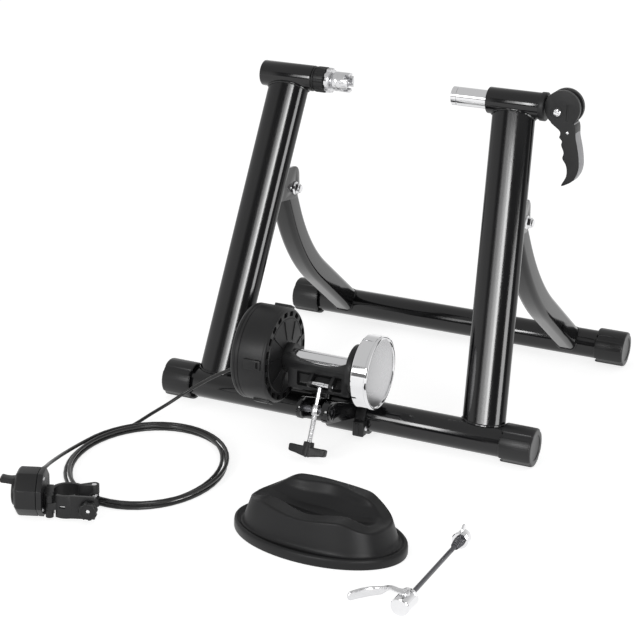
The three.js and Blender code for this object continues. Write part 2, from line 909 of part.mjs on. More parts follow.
// Right clamp
const leverX = lever.discX - lever.pivotBack;
const leverZ = -lever.discDrop - lever.pivotDrop;
function clampPin() {
  const groove = pin.tip + pin.grooveAt;
  const tailEnd = collar.end + fit.gap + pin.tailRadius;
  const body = turned([
    [pin.tip + pin.bowlDepth, 0],
    [pin.tip + pin.bowlDepth, pin.bowlFloorRadius],
    [pin.tip, pin.bowlRadius],
    [pin.tip, pin.radius - pin.chamfer],
    [pin.tip + pin.chamfer, pin.radius],
    [groove, pin.radius],
    [groove, pin.radius - pin.grooveDepth],
    [groove + pin.grooveWidth, pin.radius - pin.grooveDepth],
    [groove + pin.grooveWidth, pin.radius],
    [pin.shoulder, pin.radius],
    [pin.shoulder, pin.tailRadius],
    [tailEnd, pin.tailRadius],
    [tailEnd, 0],
  ]);
  const tang = linkPlate('y', [
    [tailEnd, 0, pin.tailRadius - fit.gap],
    [leverX, leverZ, pin.tangRadius],
  ], -pin.tangHalfWidth, pin.tangHalfWidth, coarse);
  const flats = [-1, 1].map((side) => block3(
    [pin.tangStart, Math.min(side * pin.tangHalfWidth, side * pin.radius), -pin.radius],
    [tailEnd + fit.overrun, Math.max(side * pin.tangHalfWidth, side * pin.radius), pin.radius],
  ));
  return body.add(tang)
    .subtract(flats[0])
    .subtract(flats[1])
    .subtract(
      rod('y', leverX, leverZ, lever.pivotRadius + fit.running, -lever.thickness, lever.thickness, coarse),
    );
}
addPiece(axle, 'clamp_pin', clampPin(), 'chrome');

function helix(from, to, radiusFrom, radiusTo, turns) {
  const steps = Math.round(turns * 8);
  return Array.from({ length: steps + 1 }, (_, i) => {
    const share = i / steps;
    const radius = radiusFrom + (radiusTo - radiusFrom) * share;
    const angle = share * turns * 2 * Math.PI;
    return new THREE.Vector3(from + (to - from) * share, radius * Math.cos(angle), radius * Math.sin(angle));
  });
}
const springStart = pin.shoulder + fit.gap + spring.wire / 2;
const springEnd = tubeEnd - fit.gap - spring.wire / 2;
addPiece(
  axle,
  'clamp_spring',
  woundTube(helix(springStart, springEnd, spring.radius, spring.radius, spring.turns), spring.wire / 2, 5),
  'darkSteel',
);

const collarSolid = rod('x', 0, 0, collar.radius, collar.start, collar.end)
  .subtract(rod('x', 0, 0, frame.axleTubeOd / 2 + fit.gap, collar.start - fit.overrun, tubeEnd + fit.gap))
  .subtract(
    rod(
      'x', 0, 0, pin.tailRadius + fit.running, collar.start - fit.overrun, collar.end + fit.overrun, coarse,
    ),
  );
addPiece(axle, 'tube_collar', collarSolid, 'blackPlastic');

function camLever() {
  const half = lever.thickness / 2;
  const centre = [lever.discX, -lever.discDrop];
  const handle = handleShares.map(
    ([u, v]) => [centre[0] + u * lever.discRadius, centre[1] + v * lever.discRadius],
  );
  const barX = centre[0] + lever.barAhead;
  const barZ = centre[1] - lever.barRaise;
  let solid = rod('y', ...centre, lever.discRadius, -half, half).add(plate('y', handle, -half, half));
  solid = solid.subtract(block3(
    [centre[0] - lever.discRadius - fit.overrun, -lever.slot / 2, centre[1] - lever.slotDrop],
    [centre[0] + lever.discRadius + fit.overrun, lever.slot / 2, centre[1] + lever.discRadius + fit.overrun],
  ));
  for (const face of [-1, 1]) {
    const span = (depth) => (face > 0
      ? [half - depth, half + fit.overrun]
      : [-half - fit.overrun, -half + depth]);
    solid = solid.subtract(
      rod('y', leverX, leverZ, lever.recessRadius, ...span(lever.recessDepth), middling),
    );
    solid = solid.subtract(block3(
      [barX - lever.barWidth / 2, span(lever.recessDepth)[0], barZ - lever.barLength / 2],
      [barX + lever.barWidth / 2, span(lever.recessDepth)[1], barZ + lever.barLength / 2],
    ));
    solid = solid.subtract(
      rod(
        'y',
        centre[0] + lever.rivetAhead,
        centre[1] - lever.rivetDrop,
        lever.rivetRadius,
        ...span(lever.recessDepth),
        8,
      ),
    );
  }
  return solid.subtract(
    rod('y', leverX, leverZ, lever.pivotRadius + fit.running, -lever.thickness, lever.thickness, coarse),
  );
}
addPiece(axle, 'cam_lever', camLever(), 'blackPlastic');
const screwFace = lever.thickness / 2 - lever.recessDepth + fit.gap;
const leverScrew = rod('y', leverX, leverZ, lever.pivotRadius, -screwFace, screwFace, coarse)
  .add(rod('y', leverX, leverZ, lever.pivotHead, -screwFace - lever.pivotSunk, -screwFace, coarse))
  .add(rod('y', leverX, leverZ, lever.pivotHead, screwFace, screwFace + lever.pivotSunk, coarse));
addPiece(axle, 'lever_pivot_screw', leverScrew, 'chrome');

// Resistance unit, in a group on the roller axis
const resistance = new THREE.Group();
resistance.position.set(0, unit.y, unit.z);
root.add(resistance);
const tilt = [unit.tiltY - unit.y, unit.tiltZ - unit.z];
const crossAt = [tension.topY - unit.y, tension.topZ - unit.z];
const bearingBore = bearing.outer + fit.running / 2;

const shaftLeft = brake.rotorAt - brake.hubLength / 2 - 2 * fit.gap;
const shaftRight = flywheel.inner + flywheel.boreDepth - fit.gap;
addPiece(
  resistance, 'drive_shaft', rod('x', 0, 0, roller.shaft, shaftLeft, shaftRight, middling), 'satinSteel',
);
const rollerSolid = rod('x', 0, 0, roller.radius, roller.left, roller.right)
  .subtract(
    rod(
      'x', 0, 0, roller.shaft + fit.running, roller.left - fit.overrun, roller.right + fit.overrun, middling,
    ),
  );
addPiece(resistance, 'roller', rollerSolid, 'chrome');

function bearingSolid(centre) {
  return rod('x', 0, 0, bearing.outer, centre - bearing.width / 2, centre + bearing.width / 2, middling)
    .subtract(
      rod('x', 0, 0, roller.shaft + fit.running, centre - bearing.width, centre + bearing.width, middling),
    );
}
const leftBearing = (cradle.leftOuter + cradle.leftInner) / 2;
const rightBearing = (cradle.rightOuter + cradle.rightInner) / 2;
addPiece(resistance, 'left_bearing', bearingSolid(leftBearing), 'satinSteel');
addPiece(resistance, 'right_bearing', bearingSolid(rightBearing), 'satinSteel');

const flywheelSolid = turned([
  [flywheel.inner, 0],
  [flywheel.inner, flywheel.radius - flywheel.chamfer],
  [flywheel.inner + flywheel.chamfer, flywheel.radius],
  [flywheel.outer - flywheel.chamfer - flywheel.dome, flywheel.radius],
  [flywheel.outer - flywheel.dome, flywheel.radius - flywheel.chamfer],
  [flywheel.outer, flywheel.radius * flywheel.faceShare],
  [flywheel.outer, 0],
], 30).subtract(
  rod(
    'x',
    0,
    0,
    roller.shaft + fit.running,
    flywheel.inner - fit.overrun,
    flywheel.inner + flywheel.boreDepth,
    middling,
  ),
);
addPiece(resistance, 'flywheel', flywheelSolid, 'chrome');

// Cradle: two arms, the saddle under the roller and lugs for the tension cross pin
function cradleSolid() {
  const armCircles = (hub) => [[0, 0, hub], [...tilt, cradle.eyeRadius]];
  const leftArm = linkPlate('x', armCircles(cradle.leftHub), cradle.leftOuter, cradle.leftInner);
  const rightArm = linkPlate('x', armCircles(cradle.rightHub), cradle.rightInner, cradle.rightOuter);
  const trough = rod('x', 0, 0, cradle.saddleOuter, cradle.leftInner, cradle.rightInner)
    .subtract(rod('x', 0, 0, cradle.saddleInner, cradle.leftInner, cradle.rightInner))
    .subtract(block3([cradle.leftInner - fit.overrun, 0, -cradle.saddleRearDrop],
      [cradle.rightInner + fit.overrun, cradle.saddleOuter + fit.overrun, cradle.saddleOuter + fit.overrun]))
    .subtract(block3(
      [cradle.leftInner - fit.overrun, -cradle.saddleOuter - fit.overrun, cradle.saddleFrontRise],
      [cradle.rightInner + fit.overrun, cradle.saddleOuter + fit.overrun, cradle.saddleOuter + fit.overrun]));
  const span = cradle.rightInner - cradle.leftInner;
  const dipRadius = (span * span / 4 + cradle.dip * cradle.dip) / (2 * cradle.dip);
  const dipX = (cradle.leftInner + cradle.rightInner) / 2;
  const dipCut = rod(
    'y',
    dipX,
    cradle.saddleFrontRise - cradle.dip + dipRadius,
    dipRadius,
    -cradle.saddleOuter - fit.overrun,
    0,
    64,
  );
  const lugs = [-1, 1].map((side) => {
    const centre = tension.x + side * (tension.crossLength / 2 - cradle.lugThick / 2 - fit.gap);
    const root = [0, -cradle.saddleOuter + cradle.lugRoot, cradle.lugRoot];
    return linkPlate('x', [[...crossAt, cradle.lugRadius], root],
      centre - cradle.lugThick / 2, centre + cradle.lugThick / 2, coarse);
  });
  let solid = leftArm.add(rightArm).add(trough.subtract(dipCut)).add(lugs[0]).add(lugs[1]);
  solid = solid.subtract(rod('x', 0, 0, cradle.saddleInner, cradle.leftInner, cradle.rightInner));
  solid = solid.subtract(
    rod('x', 0, 0, bearingBore, cradle.leftOuter - fit.overrun, cradle.leftInner + fit.overrun, middling),
  );
  solid = solid.subtract(
    rod('x', 0, 0, bearingBore, cradle.rightInner - fit.overrun, cradle.rightOuter + fit.overrun, middling),
  );
  solid = solid.subtract(rod('x', ...tilt, unitBracket.pivotBolt + fit.running, -barEnd, barEnd, coarse));
  return solid.subtract(rod('x', ...crossAt, tension.crossRadius + fit.running, -barEnd, barEnd, coarse));
}
addPiece(resistance, 'cradle', cradleSolid(), 'blackPlastic');

const boltLeft = cradle.leftOuter - fit.gap;
const boltRight = cradle.rightOuter + fit.gap;
const pivotBolt = rod(
  'x',
  ...tilt,
  unitBracket.pivotBolt,
  boltLeft - unitBracket.boltEnd,
  boltRight + unitBracket.boltEnd,
  coarse,
)
  .add(
    rod(
      'x',
      ...tilt,
      unitBracket.pivotBolt * unitBracket.boltHeadShare,
      boltRight,
      boltRight + unitBracket.boltEnd,
      6,
    ),
  );

// Covers of the drum
function ring3(outer, inner, from, to, count = fine) {
  return rod('x', 0, 0, outer, from, to, count).subtract(
    rod('x', 0, 0, inner, from - fit.overrun, to + fit.overrun, count),
  );
}
function innerCover() {
  const wall = drum.wall;
  let solid = turned([
    [drum.seam, drum.radius],
    [drum.face - drum.edge, drum.radius],
    [drum.face, drum.radius - drum.edge],
    [drum.face, drum.coneBase],
    [drum.coneEnd, drum.coneTip],
    [drum.coneEnd, roller.journal],
    [drum.coneEnd - wall, roller.journal],
    [drum.coneEnd - wall, drum.coneTip - drum.corner],
    [drum.face - wall, drum.coneBase],
    [drum.face - wall, drum.radius - drum.edge - drum.corner],
    [drum.face - drum.edge - drum.corner, drum.radius - wall],
    [drum.seam, drum.radius - wall],
  ], drum.sides);
  const half = drum.ventWidth / 2;
  for (let i = 0; i < drum.vents; i += 1) {
    const vent = block3(
      [drum.face - wall - fit.overrun, drum.ventInner, -half],
      [drum.face + fit.overrun, drum.ventOuter, half],
    );
    solid = solid.subtract(vent.rotate((i * 360) / drum.vents, 0, 0));
  }
  const clipEnd = drum.face - drum.edge;
  const clip = block3([clipEnd - drum.clipLength, drum.radius - drum.clipBite, -drum.clipWidth / 2],
    [clipEnd, drum.radius + drum.clipHeight, drum.clipWidth / 2]);
  return clipAngles.reduce((all, angle) => all.add(clip.rotate(angle, 0, 0)), solid);
}
addPiece(resistance, 'inner_cover', innerCover(), 'blackPlastic');
function outerCover() {
  const wall = drum.wall;
  const seam = drum.seam - fit.gap;
  const solid = turned([
    [seam, drum.radius],
    [drum.back + drum.edge, drum.radius],
    [drum.back, drum.radius - drum.edge],
    [drum.back - drum.backDish / 2, brake.carrierRadius / 2],
    [drum.back - drum.backDish / 2, 0],
    [drum.back - drum.backDish / 2 + wall, 0],
    [drum.back - drum.backDish / 2 + wall, brake.carrierRadius / 2],
    [drum.back + wall, drum.radius - drum.edge - drum.corner],
    [drum.back + drum.edge + drum.corner, drum.radius - wall],
    [seam, drum.radius - wall],
  ], drum.sides);
  const glandRod = rod(
    'x', gland.y, gland.z, gland.radius, drum.back - gland.length - drum.backDish / 2, drum.back, coarse,
  );
  const post = rod(
    'x',
    0,
    0,
    brake.pivotRadius,
    drum.back - drum.backDish / 2,
    brake.carrierAt + brake.carrierThick / 2,
    middling,
  );
  return solid.add(glandRod).add(post);
}
addPiece(resistance, 'outer_cover', outerCover(), 'blackPlastic');

// Magnetic brake inside the drum
const rotor = rod(
  'x',
  0,
  0,
  brake.rotorRadius,
  brake.rotorAt - brake.rotorThick / 2,
  brake.rotorAt + brake.rotorThick / 2,
  drum.sides,
)
  .add(
    rod(
      'x',
      0,
      0,
      brake.hubRadius,
      brake.rotorAt - brake.hubLength / 2,
      brake.rotorAt + brake.hubLength / 2,
      middling,
    ),
  )
  .subtract(
    rod(
      'x',
      0,
      0,
      roller.shaft + fit.running,
      brake.rotorAt - brake.hubLength,
      brake.rotorAt + brake.hubLength,
      middling,
    ),
  );
addPiece(resistance, 'rotor_disc', rotor, 'aluminium');
const carrierFrom = brake.carrierAt - brake.carrierThick / 2;
const carrierTo = brake.carrierAt + brake.carrierThick / 2;
const magnetFrom = carrierTo - brake.magnetSunk;
const magnetSeat = ring3(
  brake.magnetOuter + fit.gap, brake.magnetInner - fit.gap, magnetFrom - fit.gap, carrierTo + fit.overrun,
);
const carrierSolid = ring3(
  brake.carrierRadius, brake.pivotRadius + fit.gap, carrierFrom, carrierTo,
).subtract(magnetSeat);
addPiece(resistance, 'magnet_carrier', carrierSolid, 'blackPlastic');
const magnetSolid = ring3(brake.magnetOuter, brake.magnetInner, magnetFrom, magnetFrom + brake.magnetThick);
addPiece(resistance, 'magnet_ring', magnetSolid, 'darkSteel');

// Bracket on the front bar: two plates from the bar to the unit pivot and the trunnion
const rightPlateStart = unitBracket.right - unitBracket.rightPlate;
function bracketSolid() {
  const wrap = barRadius + unitBracket.barWrap;
  const circles = [[0, barHeight, wrap], [unit.tiltY, unit.tiltZ, unitBracket.eyeRadius]];
  const arm = [
    [-wrap / 2, barHeight + wrap / 3, wrap / 3],
    [tension.nutY, tension.nutZ, unitBracket.earRadius],
  ];
  const plateSolid = (from, to) => linkPlate('x', circles, from, to).add(linkPlate('x', arm, from, to));
  const floorCut = block3([-barEnd, -barEnd, -barEnd], [barEnd, barEnd, barHeight - barRadius - fit.gap]);
  let solid = plateSolid(unitBracket.left, unitBracket.left + unitBracket.plate)
    .add(plateSolid(rightPlateStart, unitBracket.right))
    .add(
      rod(
        'x', unit.tiltY, unit.tiltZ, unitBracket.sleeveRadius, unitBracket.left, unitBracket.right, middling,
      ),
    )
    .add(rod('x', 0, barHeight, wrap, unitBracket.left, unitBracket.right));
  solid = solid.subtract(rod('x', 0, barHeight, barRadius + fit.gap, -barEnd, barEnd));
  solid = solid.subtract(floorCut);
  solid = solid.subtract(
    rod('x', unit.tiltY, unit.tiltZ, unitBracket.pivotBolt + fit.running, -barEnd, barEnd, coarse),
  );
  return solid.subtract(
    rod('x', tension.nutY, tension.nutZ, tension.pinRadius + fit.running, -barEnd, barEnd, coarse),
  );
}
addPiece(root, 'unit_bracket', bracketSolid(), 'blackPaint');
addPiece(root, 'unit_pivot_bolt', pivotBolt.translate(0, unit.y, unit.z), 'darkSteel');

// Strap and screw that hold the bracket on the bar
const wrapRadius = barRadius + unitBracket.barWrap;
const strapFrom = unitBracket.right + fit.gap;
const strapTo = strapFrom + unitBracket.strapWidth;
const strapSolid = rod('x', 0, barHeight, barRadius + unitBracket.strapThick, strapFrom, strapTo)
  .subtract(rod('x', 0, barHeight, barRadius + fit.gap, strapFrom - fit.overrun, strapTo + fit.overrun))
  .subtract(block3([-barEnd, -barEnd, -barEnd], [barEnd, barEnd, fit.gap]));
const strapScrewAngle = unitBracket.screwAngle * degrees;
const screwCentre = [
  (barRadius + unitBracket.strapThick) * Math.cos(strapScrewAngle)
    - unitBracket.screwRadius * unitBracket.screwInShare,
  barHeight + (barRadius + unitBracket.strapThick) * Math.sin(strapScrewAngle),
];
const strapScrew = rod(
  'x', ...screwCentre, unitBracket.screwRadius, strapFrom, strapTo + unitBracket.screwHead, coarse,
);
addPiece(root, 'bracket_strap', strapSolid.add(strapScrew), 'blackPlastic');

// Tension bolt, in a group that points down the rod
const rodAlong = new THREE.Vector3(0, tension.nutY - tension.topY, tension.nutZ - tension.topZ).normalize();
const bolted = new THREE.Group();
bolted.position.set(tension.x, tension.topY, tension.topZ);
bolted.rotation.x = Math.atan2(-rodAlong.y, -rodAlong.z) * -1;
root.add(bolted);
const nutDrop = Math.hypot(tension.nutY - tension.topY, tension.nutZ - tension.topZ);
const half = tension.crossLength / 2;
addPiece(bolted, 'tension_cross_pin', rod('x', 0, 0, tension.crossRadius, -half, half, coarse), 'chrome');
const rodTop = -tension.crossRadius - fit.gap;
const rodBottom = rodTop - tension.rodLength;
addPiece(bolted, 'tension_rod', rod('z', 0, 0, tension.rodRadius, rodBottom, rodTop, coarse), 'chrome');
const trunnionHalf = tension.trunnionLength / 2;
const pinsLeft = unitBracket.left - tension.x;
const pinsRight = unitBracket.right - tension.x;
const flatHalf = trunnionHalf * tension.trunnionFlatShare;
const trunnion = block3([-flatHalf, -tension.trunnionRadius, -nutDrop - tension.trunnionRadius],
  [flatHalf, tension.trunnionRadius, -nutDrop + tension.trunnionRadius])
  .intersect(
    rod(
      'z',
      0,
      0,
      tension.trunnionRadius,
      -nutDrop - tension.trunnionRadius,
      -nutDrop + tension.trunnionRadius,
      coarse,
    ),
  )
  .add(rod('x', 0, -nutDrop, tension.pinRadius, pinsLeft, pinsRight, coarse))
  .subtract(
    rod(
      'z',
      0,
      0,
      tension.rodRadius + fit.running,
      -nutDrop - 2 * fit.overrun - tension.trunnionRadius,
      0,
      coarse,
    ),
  );
addPiece(bolted, 'trunnion_nut', trunnion, 'satinSteel');
const knobTop = -tension.knobFromTop;
function tensionKnob() {
  const w = tension.knobSpan / 2;
  const tipTop = knobTop - tension.knobHubLength * tension.tipShare;
  const tipLow = tipTop - tension.knobHeight * tension.tipHeightShare;
  const middleTop = knobTop - tension.knobHubLength * tension.middleShare;
  const middleLow = middleTop - tension.knobHeight;
  const wing = plate('y', [
    [-w, tipTop],
    [-tension.knobHubRadius, middleTop],
    [tension.knobHubRadius, middleTop],
    [w, tipTop],
    [w, tipLow],
    [tension.knobHubRadius, middleLow],
    [-tension.knobHubRadius, middleLow],
    [-w, tipLow],
  ], -tension.knobThick / 2, tension.knobThick / 2);
  return rod('z', 0, 0, tension.knobHubRadius, knobTop - tension.knobHubLength, knobTop, coarse)
    .add(wing)
    .subtract(
      rod('z', 0, 0, tension.rodRadius + fit.running, rodBottom - fit.gap, knobTop + fit.overrun, coarse),
    );
}
addPiece(bolted, 'tension_knob', tensionKnob(), 'blackPlastic');

// Remote, in a group turned about Z on its clamp ring
const remoteGroup = new THREE.Group();
remoteGroup.position.set(remote.x, remote.y, 0);
remoteGroup.rotation.z = remote.turn * degrees;
root.add(remoteGroup);
const octagon = (radius) => Array.from({ length: 8 }, (_, i) => {
  const angle = (i + 0.5) * 45 * degrees;
  const corner = radius / Math.cos(22.5 * degrees);
  return [corner * Math.cos(angle), remote.bodyRadius + corner * Math.sin(angle)];
});
const drumZ = remote.bodyRadius;
function remoteCase() {
  const shell = toSolid(skin([
    octagon(remote.bodyRadius - remote.bodyEdge).map(([y, z]) => new THREE.Vector3(remote.bodyStart, y, z)),
    octagon(remote.bodyRadius).map(([y, z]) => new THREE.Vector3(remote.bodyStart + remote.bodyEdge, y, z)),
    octagon(remote.bodyRadius).map(([y, z]) => new THREE.Vector3(remote.bodyEnd, y, z)),
  ]));
  const hollow = plate(
    'x',
    octagon(remote.bodyRadius - remote.bodyEdge),
    remote.bodyStart + remote.bodyEdge,
    remote.bodyEnd + fit.overrun,
  );
  const boss = rod('y', remote.bossX, remote.bossZ, remote.bossRadius, remote.bossY, remote.bossEnd, coarse);
  return shell.subtract(hollow).add(boss.subtract(hollow)).subtract(
    rod('x', 0, drumZ, remote.axleRadius + fit.running, -barEnd, barEnd, coarse),
  );
}
addPiece(remoteGroup, 'remote_case', remoteCase(), 'blackPlastic');
const plateStart = remote.bodyEnd + fit.gap;
const screwSpots = screwAngles.map((angle) => [
  remote.screwRing * Math.cos(angle * degrees),
  drumZ + remote.screwRing * Math.sin(angle * degrees),
]);
const screwHeads = screwSpots.map(([y, z]) => rod(
  'x', y, z, remote.screwRadius, plateStart, remote.plateEnd + remote.screwHead, 12,
));
const backPlate = plate('x', octagon(remote.bodyRadius), plateStart, remote.plateEnd)
  .subtract(
    rod(
      'x',
      0,
      drumZ,
      remote.axleRadius + fit.running,
      plateStart - fit.overrun,
      (plateStart + remote.plateEnd) / 2,
      coarse,
    ),
  );
const remoteBack = screwHeads.reduce((all, one) => all.add(one), backPlate);
addPiece(remoteGroup, 'remote_back', remoteBack, 'blackPlastic');
const hubFrom = remote.bodyStart - fit.gap - remote.hubThick;
const shiftLever = rod('x', 0, drumZ, remote.hubRadius, hubFrom, hubFrom + remote.hubThick, middling)
  .add(block3([hubFrom - remote.tabReach, -remote.tabWidth / 2, drumZ + remote.tabRise - remote.tabThick / 2],
    [hubFrom + remote.hubThick, remote.tabWidth / 2, drumZ + remote.tabRise + remote.tabThick / 2]))
  .add(rod('x', 0, drumZ, remote.axleRadius, hubFrom, plateStart + remote.axleBite, coarse));
addPiece(remoteGroup, 'shift_lever', shiftLever, 'blackPlastic');

// Clamp of the remote: a fixed rear half, a hinged front half and a swinging bolt
function arcBand(fromAngle, toAngle, inner, outer, steps = 12) {
  const at = (angle, radius) => [radius * Math.cos(angle * degrees), radius * Math.sin(angle * degrees)];
  const angles = Array.from({ length: steps + 1 }, (_, i) => fromAngle + ((toAngle - fromAngle) * i) / steps);
  return [...angles.map((angle) => at(angle, outer)), ...angles.reverse().map((angle) => at(angle, inner))];
}
const third = (clamp.top - clamp.bottom - clamp.knuckle) / 2;
const kneeLow = clamp.bottom + third;
const kneeHigh = clamp.top - third;
const hingeAngle = Math.atan2(clamp.hingeY, clamp.hingeX) / degrees + 360;
const barBore = rod('z', 0, 0, clamp.ringInner, -fit.overrun, clamp.top + fit.overrun);
function clampBase() {
  let solid = plate(
    'z',
    arcBand(clamp.openAngle, hingeAngle - clamp.hingeClear, clamp.ringInner, clamp.ringOuter),
    clamp.bottom,
    clamp.top,
  );
  solid = solid.add(
    block3(
      [remote.plateEnd + fit.gap, -clamp.neckHalf, clamp.bottom],
      [-clamp.neckReach, clamp.neckHalf, clamp.top],
    ),
  );
  const open = clamp.openAngle * degrees;
  const start = [clamp.ringInner * Math.cos(open), clamp.ringInner * Math.sin(open)];
  solid = solid.add(
    linkPlate(
      'z',
      [
        [start[0] + clamp.rootRadius, start[1] + clamp.rootRadius, clamp.rootRadius],
        [clamp.bossX, clamp.bossY, clamp.bossRadius],
      ],
      clamp.bottom,
      clamp.top,
      coarse,
    ),
  );
  for (const [from, to] of [[clamp.bottom, kneeLow], [kneeHigh, clamp.top]]) {
    solid = solid.add(
      linkPlate(
        'z',
        [
          [clamp.hingeX, clamp.hingeY, clamp.hingeRadius],
          [-clamp.ringOuter + clamp.rootInset, -clamp.rootDrop, clamp.rootRadius],
        ],
        from,
        to,
        coarse,
      ),
    );
  }
  const room = clamp.boltRadius + 2 * fit.gap;
  const corners = [
    [clamp.bossX, clamp.bossY, room],
    [clamp.bossX, clamp.armY, room],
    [clamp.bossX + 2 * clamp.bossRadius, clamp.bossY, room],
  ];
  const level = (clamp.top + clamp.bottom) / 2;
  const swing = linkPlate(
    'z',
    corners,
    level - clamp.boltRadius - fit.gap,
    level + clamp.boltRadius + fit.gap,
    coarse,
  );
  return solid.subtract(barBore)
    .subtract(swing)
    .subtract(
      rod(
        'z',
        clamp.bossX,
        clamp.bossY,
        clamp.boltBarrel + fit.running,
        -fit.overrun,
        clamp.top + fit.overrun,
        coarse,
      ),
    )
    .subtract(rod('z', clamp.hingeX, clamp.hingeY, clamp.hingeRadius + fit.gap, kneeLow, kneeHigh, coarse))
    .add(rod('z', clamp.hingeX, clamp.hingeY, clamp.hingePin, clamp.bottom, clamp.top, coarse));
}
addPiece(remoteGroup, 'clamp_base', clampBase(), 'blackPlastic');
function clampArm() {
  const low = kneeLow + fit.gap;
  const high = kneeHigh - fit.gap;
  const start = hingeAngle + clamp.hingeClear;
  const startReach = clamp.ringInner + clamp.rootRadius;
  const startPoint = [startReach * Math.cos(start * degrees), startReach * Math.sin(start * degrees)];
  let solid = plate(
    'z', arcBand(start, clamp.frontAngle, clamp.ringInner, clamp.ringOuter), clamp.bottom, clamp.top,
  );
  solid = solid.add(
    linkPlate(
      'z',
      [[clamp.hingeX, clamp.hingeY, clamp.hingeRadius], [...startPoint, clamp.rootRadius]],
      low,
      high,
      coarse,
    ),
  );
  const kneeX = clamp.ringInner * Math.cos(clamp.frontAngle * degrees);
  solid = solid.add(
    block3(
      [kneeX - clamp.kneeLap, clamp.armY - clamp.armThick / 2, clamp.bottom],
      [clamp.armEndX, clamp.armY + clamp.armThick / 2, clamp.top],
    ),
  );
  const mid = (clamp.bottom + clamp.top) / 2;
  solid = solid.subtract(barBore);
  solid = solid.subtract(block3(
    [clamp.bossX - clamp.forkWidth / 2, clamp.armY - clamp.armThick, mid - clamp.forkWidth / 2],
    [clamp.armEndX + fit.overrun, clamp.armY + clamp.armThick, mid + clamp.forkWidth / 2]));
  solid = solid.subtract(block3(
    [-clamp.slotLength / 2 - clamp.slotShift, -clamp.ringOuter - fit.overrun, mid - clamp.slotHeight / 2],
    [clamp.slotLength / 2 - clamp.slotShift, -clamp.ringInner + fit.overrun, mid + clamp.slotHeight / 2]));
  return solid.subtract(
    rod(
      'z',
      clamp.hingeX,
      clamp.hingeY,
      clamp.hingePin + fit.running,
      -fit.overrun,
      clamp.top + fit.overrun,
      coarse,
    ),
  );
}
addPiece(remoteGroup, 'clamp_arm', clampArm(), 'blackPlastic');
const clampMiddle = (clamp.bottom + clamp.top) / 2;
const boltTip = clamp.bossY - clamp.boltLength;
const clampBolt = rod('z', clamp.bossX, clamp.bossY, clamp.boltBarrel, clamp.bottom, clamp.top, coarse)
  .add(rod('y', clamp.bossX, clampMiddle, clamp.boltRadius, boltTip, clamp.bossY, coarse));
addPiece(remoteGroup, 'clamp_bolt', clampBolt, 'chrome');
const nutFace = clamp.armY - clamp.armThick / 2 - clamp.nutGap;
function thumbNut() {
  const outline = [];
  const lobeShares = [[0.1, 0], [0.5, 0], [0.62, clamp.lobeDepth], [0.98, clamp.lobeDepth]];
  for (let i = 0; i < clamp.knobLobes; i += 1) {
    for (const [share, cut] of lobeShares) {
      const angle = ((i + share) / clamp.knobLobes) * 2 * Math.PI;
      outline.push(
        [
          clamp.bossX + (clamp.knobRadius - cut) * Math.cos(angle),
          clampMiddle + (clamp.knobRadius - cut) * Math.sin(angle),
        ],
      );
    }
  }
  return plate('y', outline, nutFace - clamp.knobLength, nutFace)
    .subtract(
      rod(
        'y',
        clamp.bossX,
        clampMiddle,
        clamp.boltRadius + fit.running,
        boltTip - fit.gap,
        nutFace + fit.overrun,
        coarse,
      ),
    );
}
addPiece(remoteGroup, 'thumb_nut', thumbNut(), 'blackPlastic');

// Cable: coil of one unbroken tube on the floor, in and out again in two layers
const cableRadius = cable.diameter / 2;
function coilPoint(turn) {
  const inward = cable.pitch * Math.min(turn, cable.turns - turn);
  const climb = THREE.MathUtils.clamp(2 * (turn - cable.turns / 2) + 0.5, 0, 1);
  const angle = (cable.startAngle + 360 * turn) * degrees;
  const along = (cable.coilHalfWidth - inward) * Math.cos(angle);
  const aside = (cable.coilHalfLength - inward) * Math.sin(angle);
  const tilted = cable.coilTurn * degrees;
  return new THREE.Vector3(
    cable.coilX + along * Math.cos(tilted) - aside * Math.sin(tilted),
    cable.coilY + along * Math.sin(tilted) + aside * Math.cos(tilted),
    cableRadius + cable.floorGap + cable.layerRise * climb,
  );
}
const coilSteps = Math.round(cable.turns * cable.steps);
const coilPoints = Array.from({ length: coilSteps + 1 }, (_, i) => coilPoint((i / coilSteps) * cable.turns));
function withStraightEnds(points) {
  const first = points[0].clone().sub(points[1]).setLength(cable.diameter);
  const last = points[points.length - 1].clone().sub(points[points.length - 2]).setLength(cable.diameter);
  return [points[0].clone().add(first), ...points, points[points.length - 1].clone().add(last)];
}
const coilLine = withStraightEnds(coilPoints);
addPiece(root, 'cable_coil', woundTube(coilLine, cableRadius, cable.coilSides), 'blackRubber');

// The least gap of the coil to itself, on its centre line points
function leastGap(points, radius, skip) {
  let least = Infinity;
  const pointToSegment = (p, a, b) => {
    const span = b.clone().sub(a);
    const share = THREE.MathUtils.clamp(p.clone().sub(a).dot(span) / span.lengthSq(), 0, 1);
    return p.distanceTo(a.clone().addScaledVector(span, share));
  };
  for (let i = 0; i < points.length; i += 1) {
    for (let j = 0; j + 1 < points.length; j += 1) {
      if (Math.abs(j - i) > skip && Math.abs(j + 1 - i) > skip) {
        least = Math.min(least, pointToSegment(points[i], points[j], points[j + 1]) - 2 * radius);
      }
    }
  }
  return least;
}
console.log('cable coil, least gap to itself', leastGap(coilLine, cableRadius, 4).toFixed(2), 'mm');
const lineLength = (points) => points.reduce(
  (sum, point, i) => (i ? sum + point.distanceTo(points[i - 1]) : 0),
  0,
);

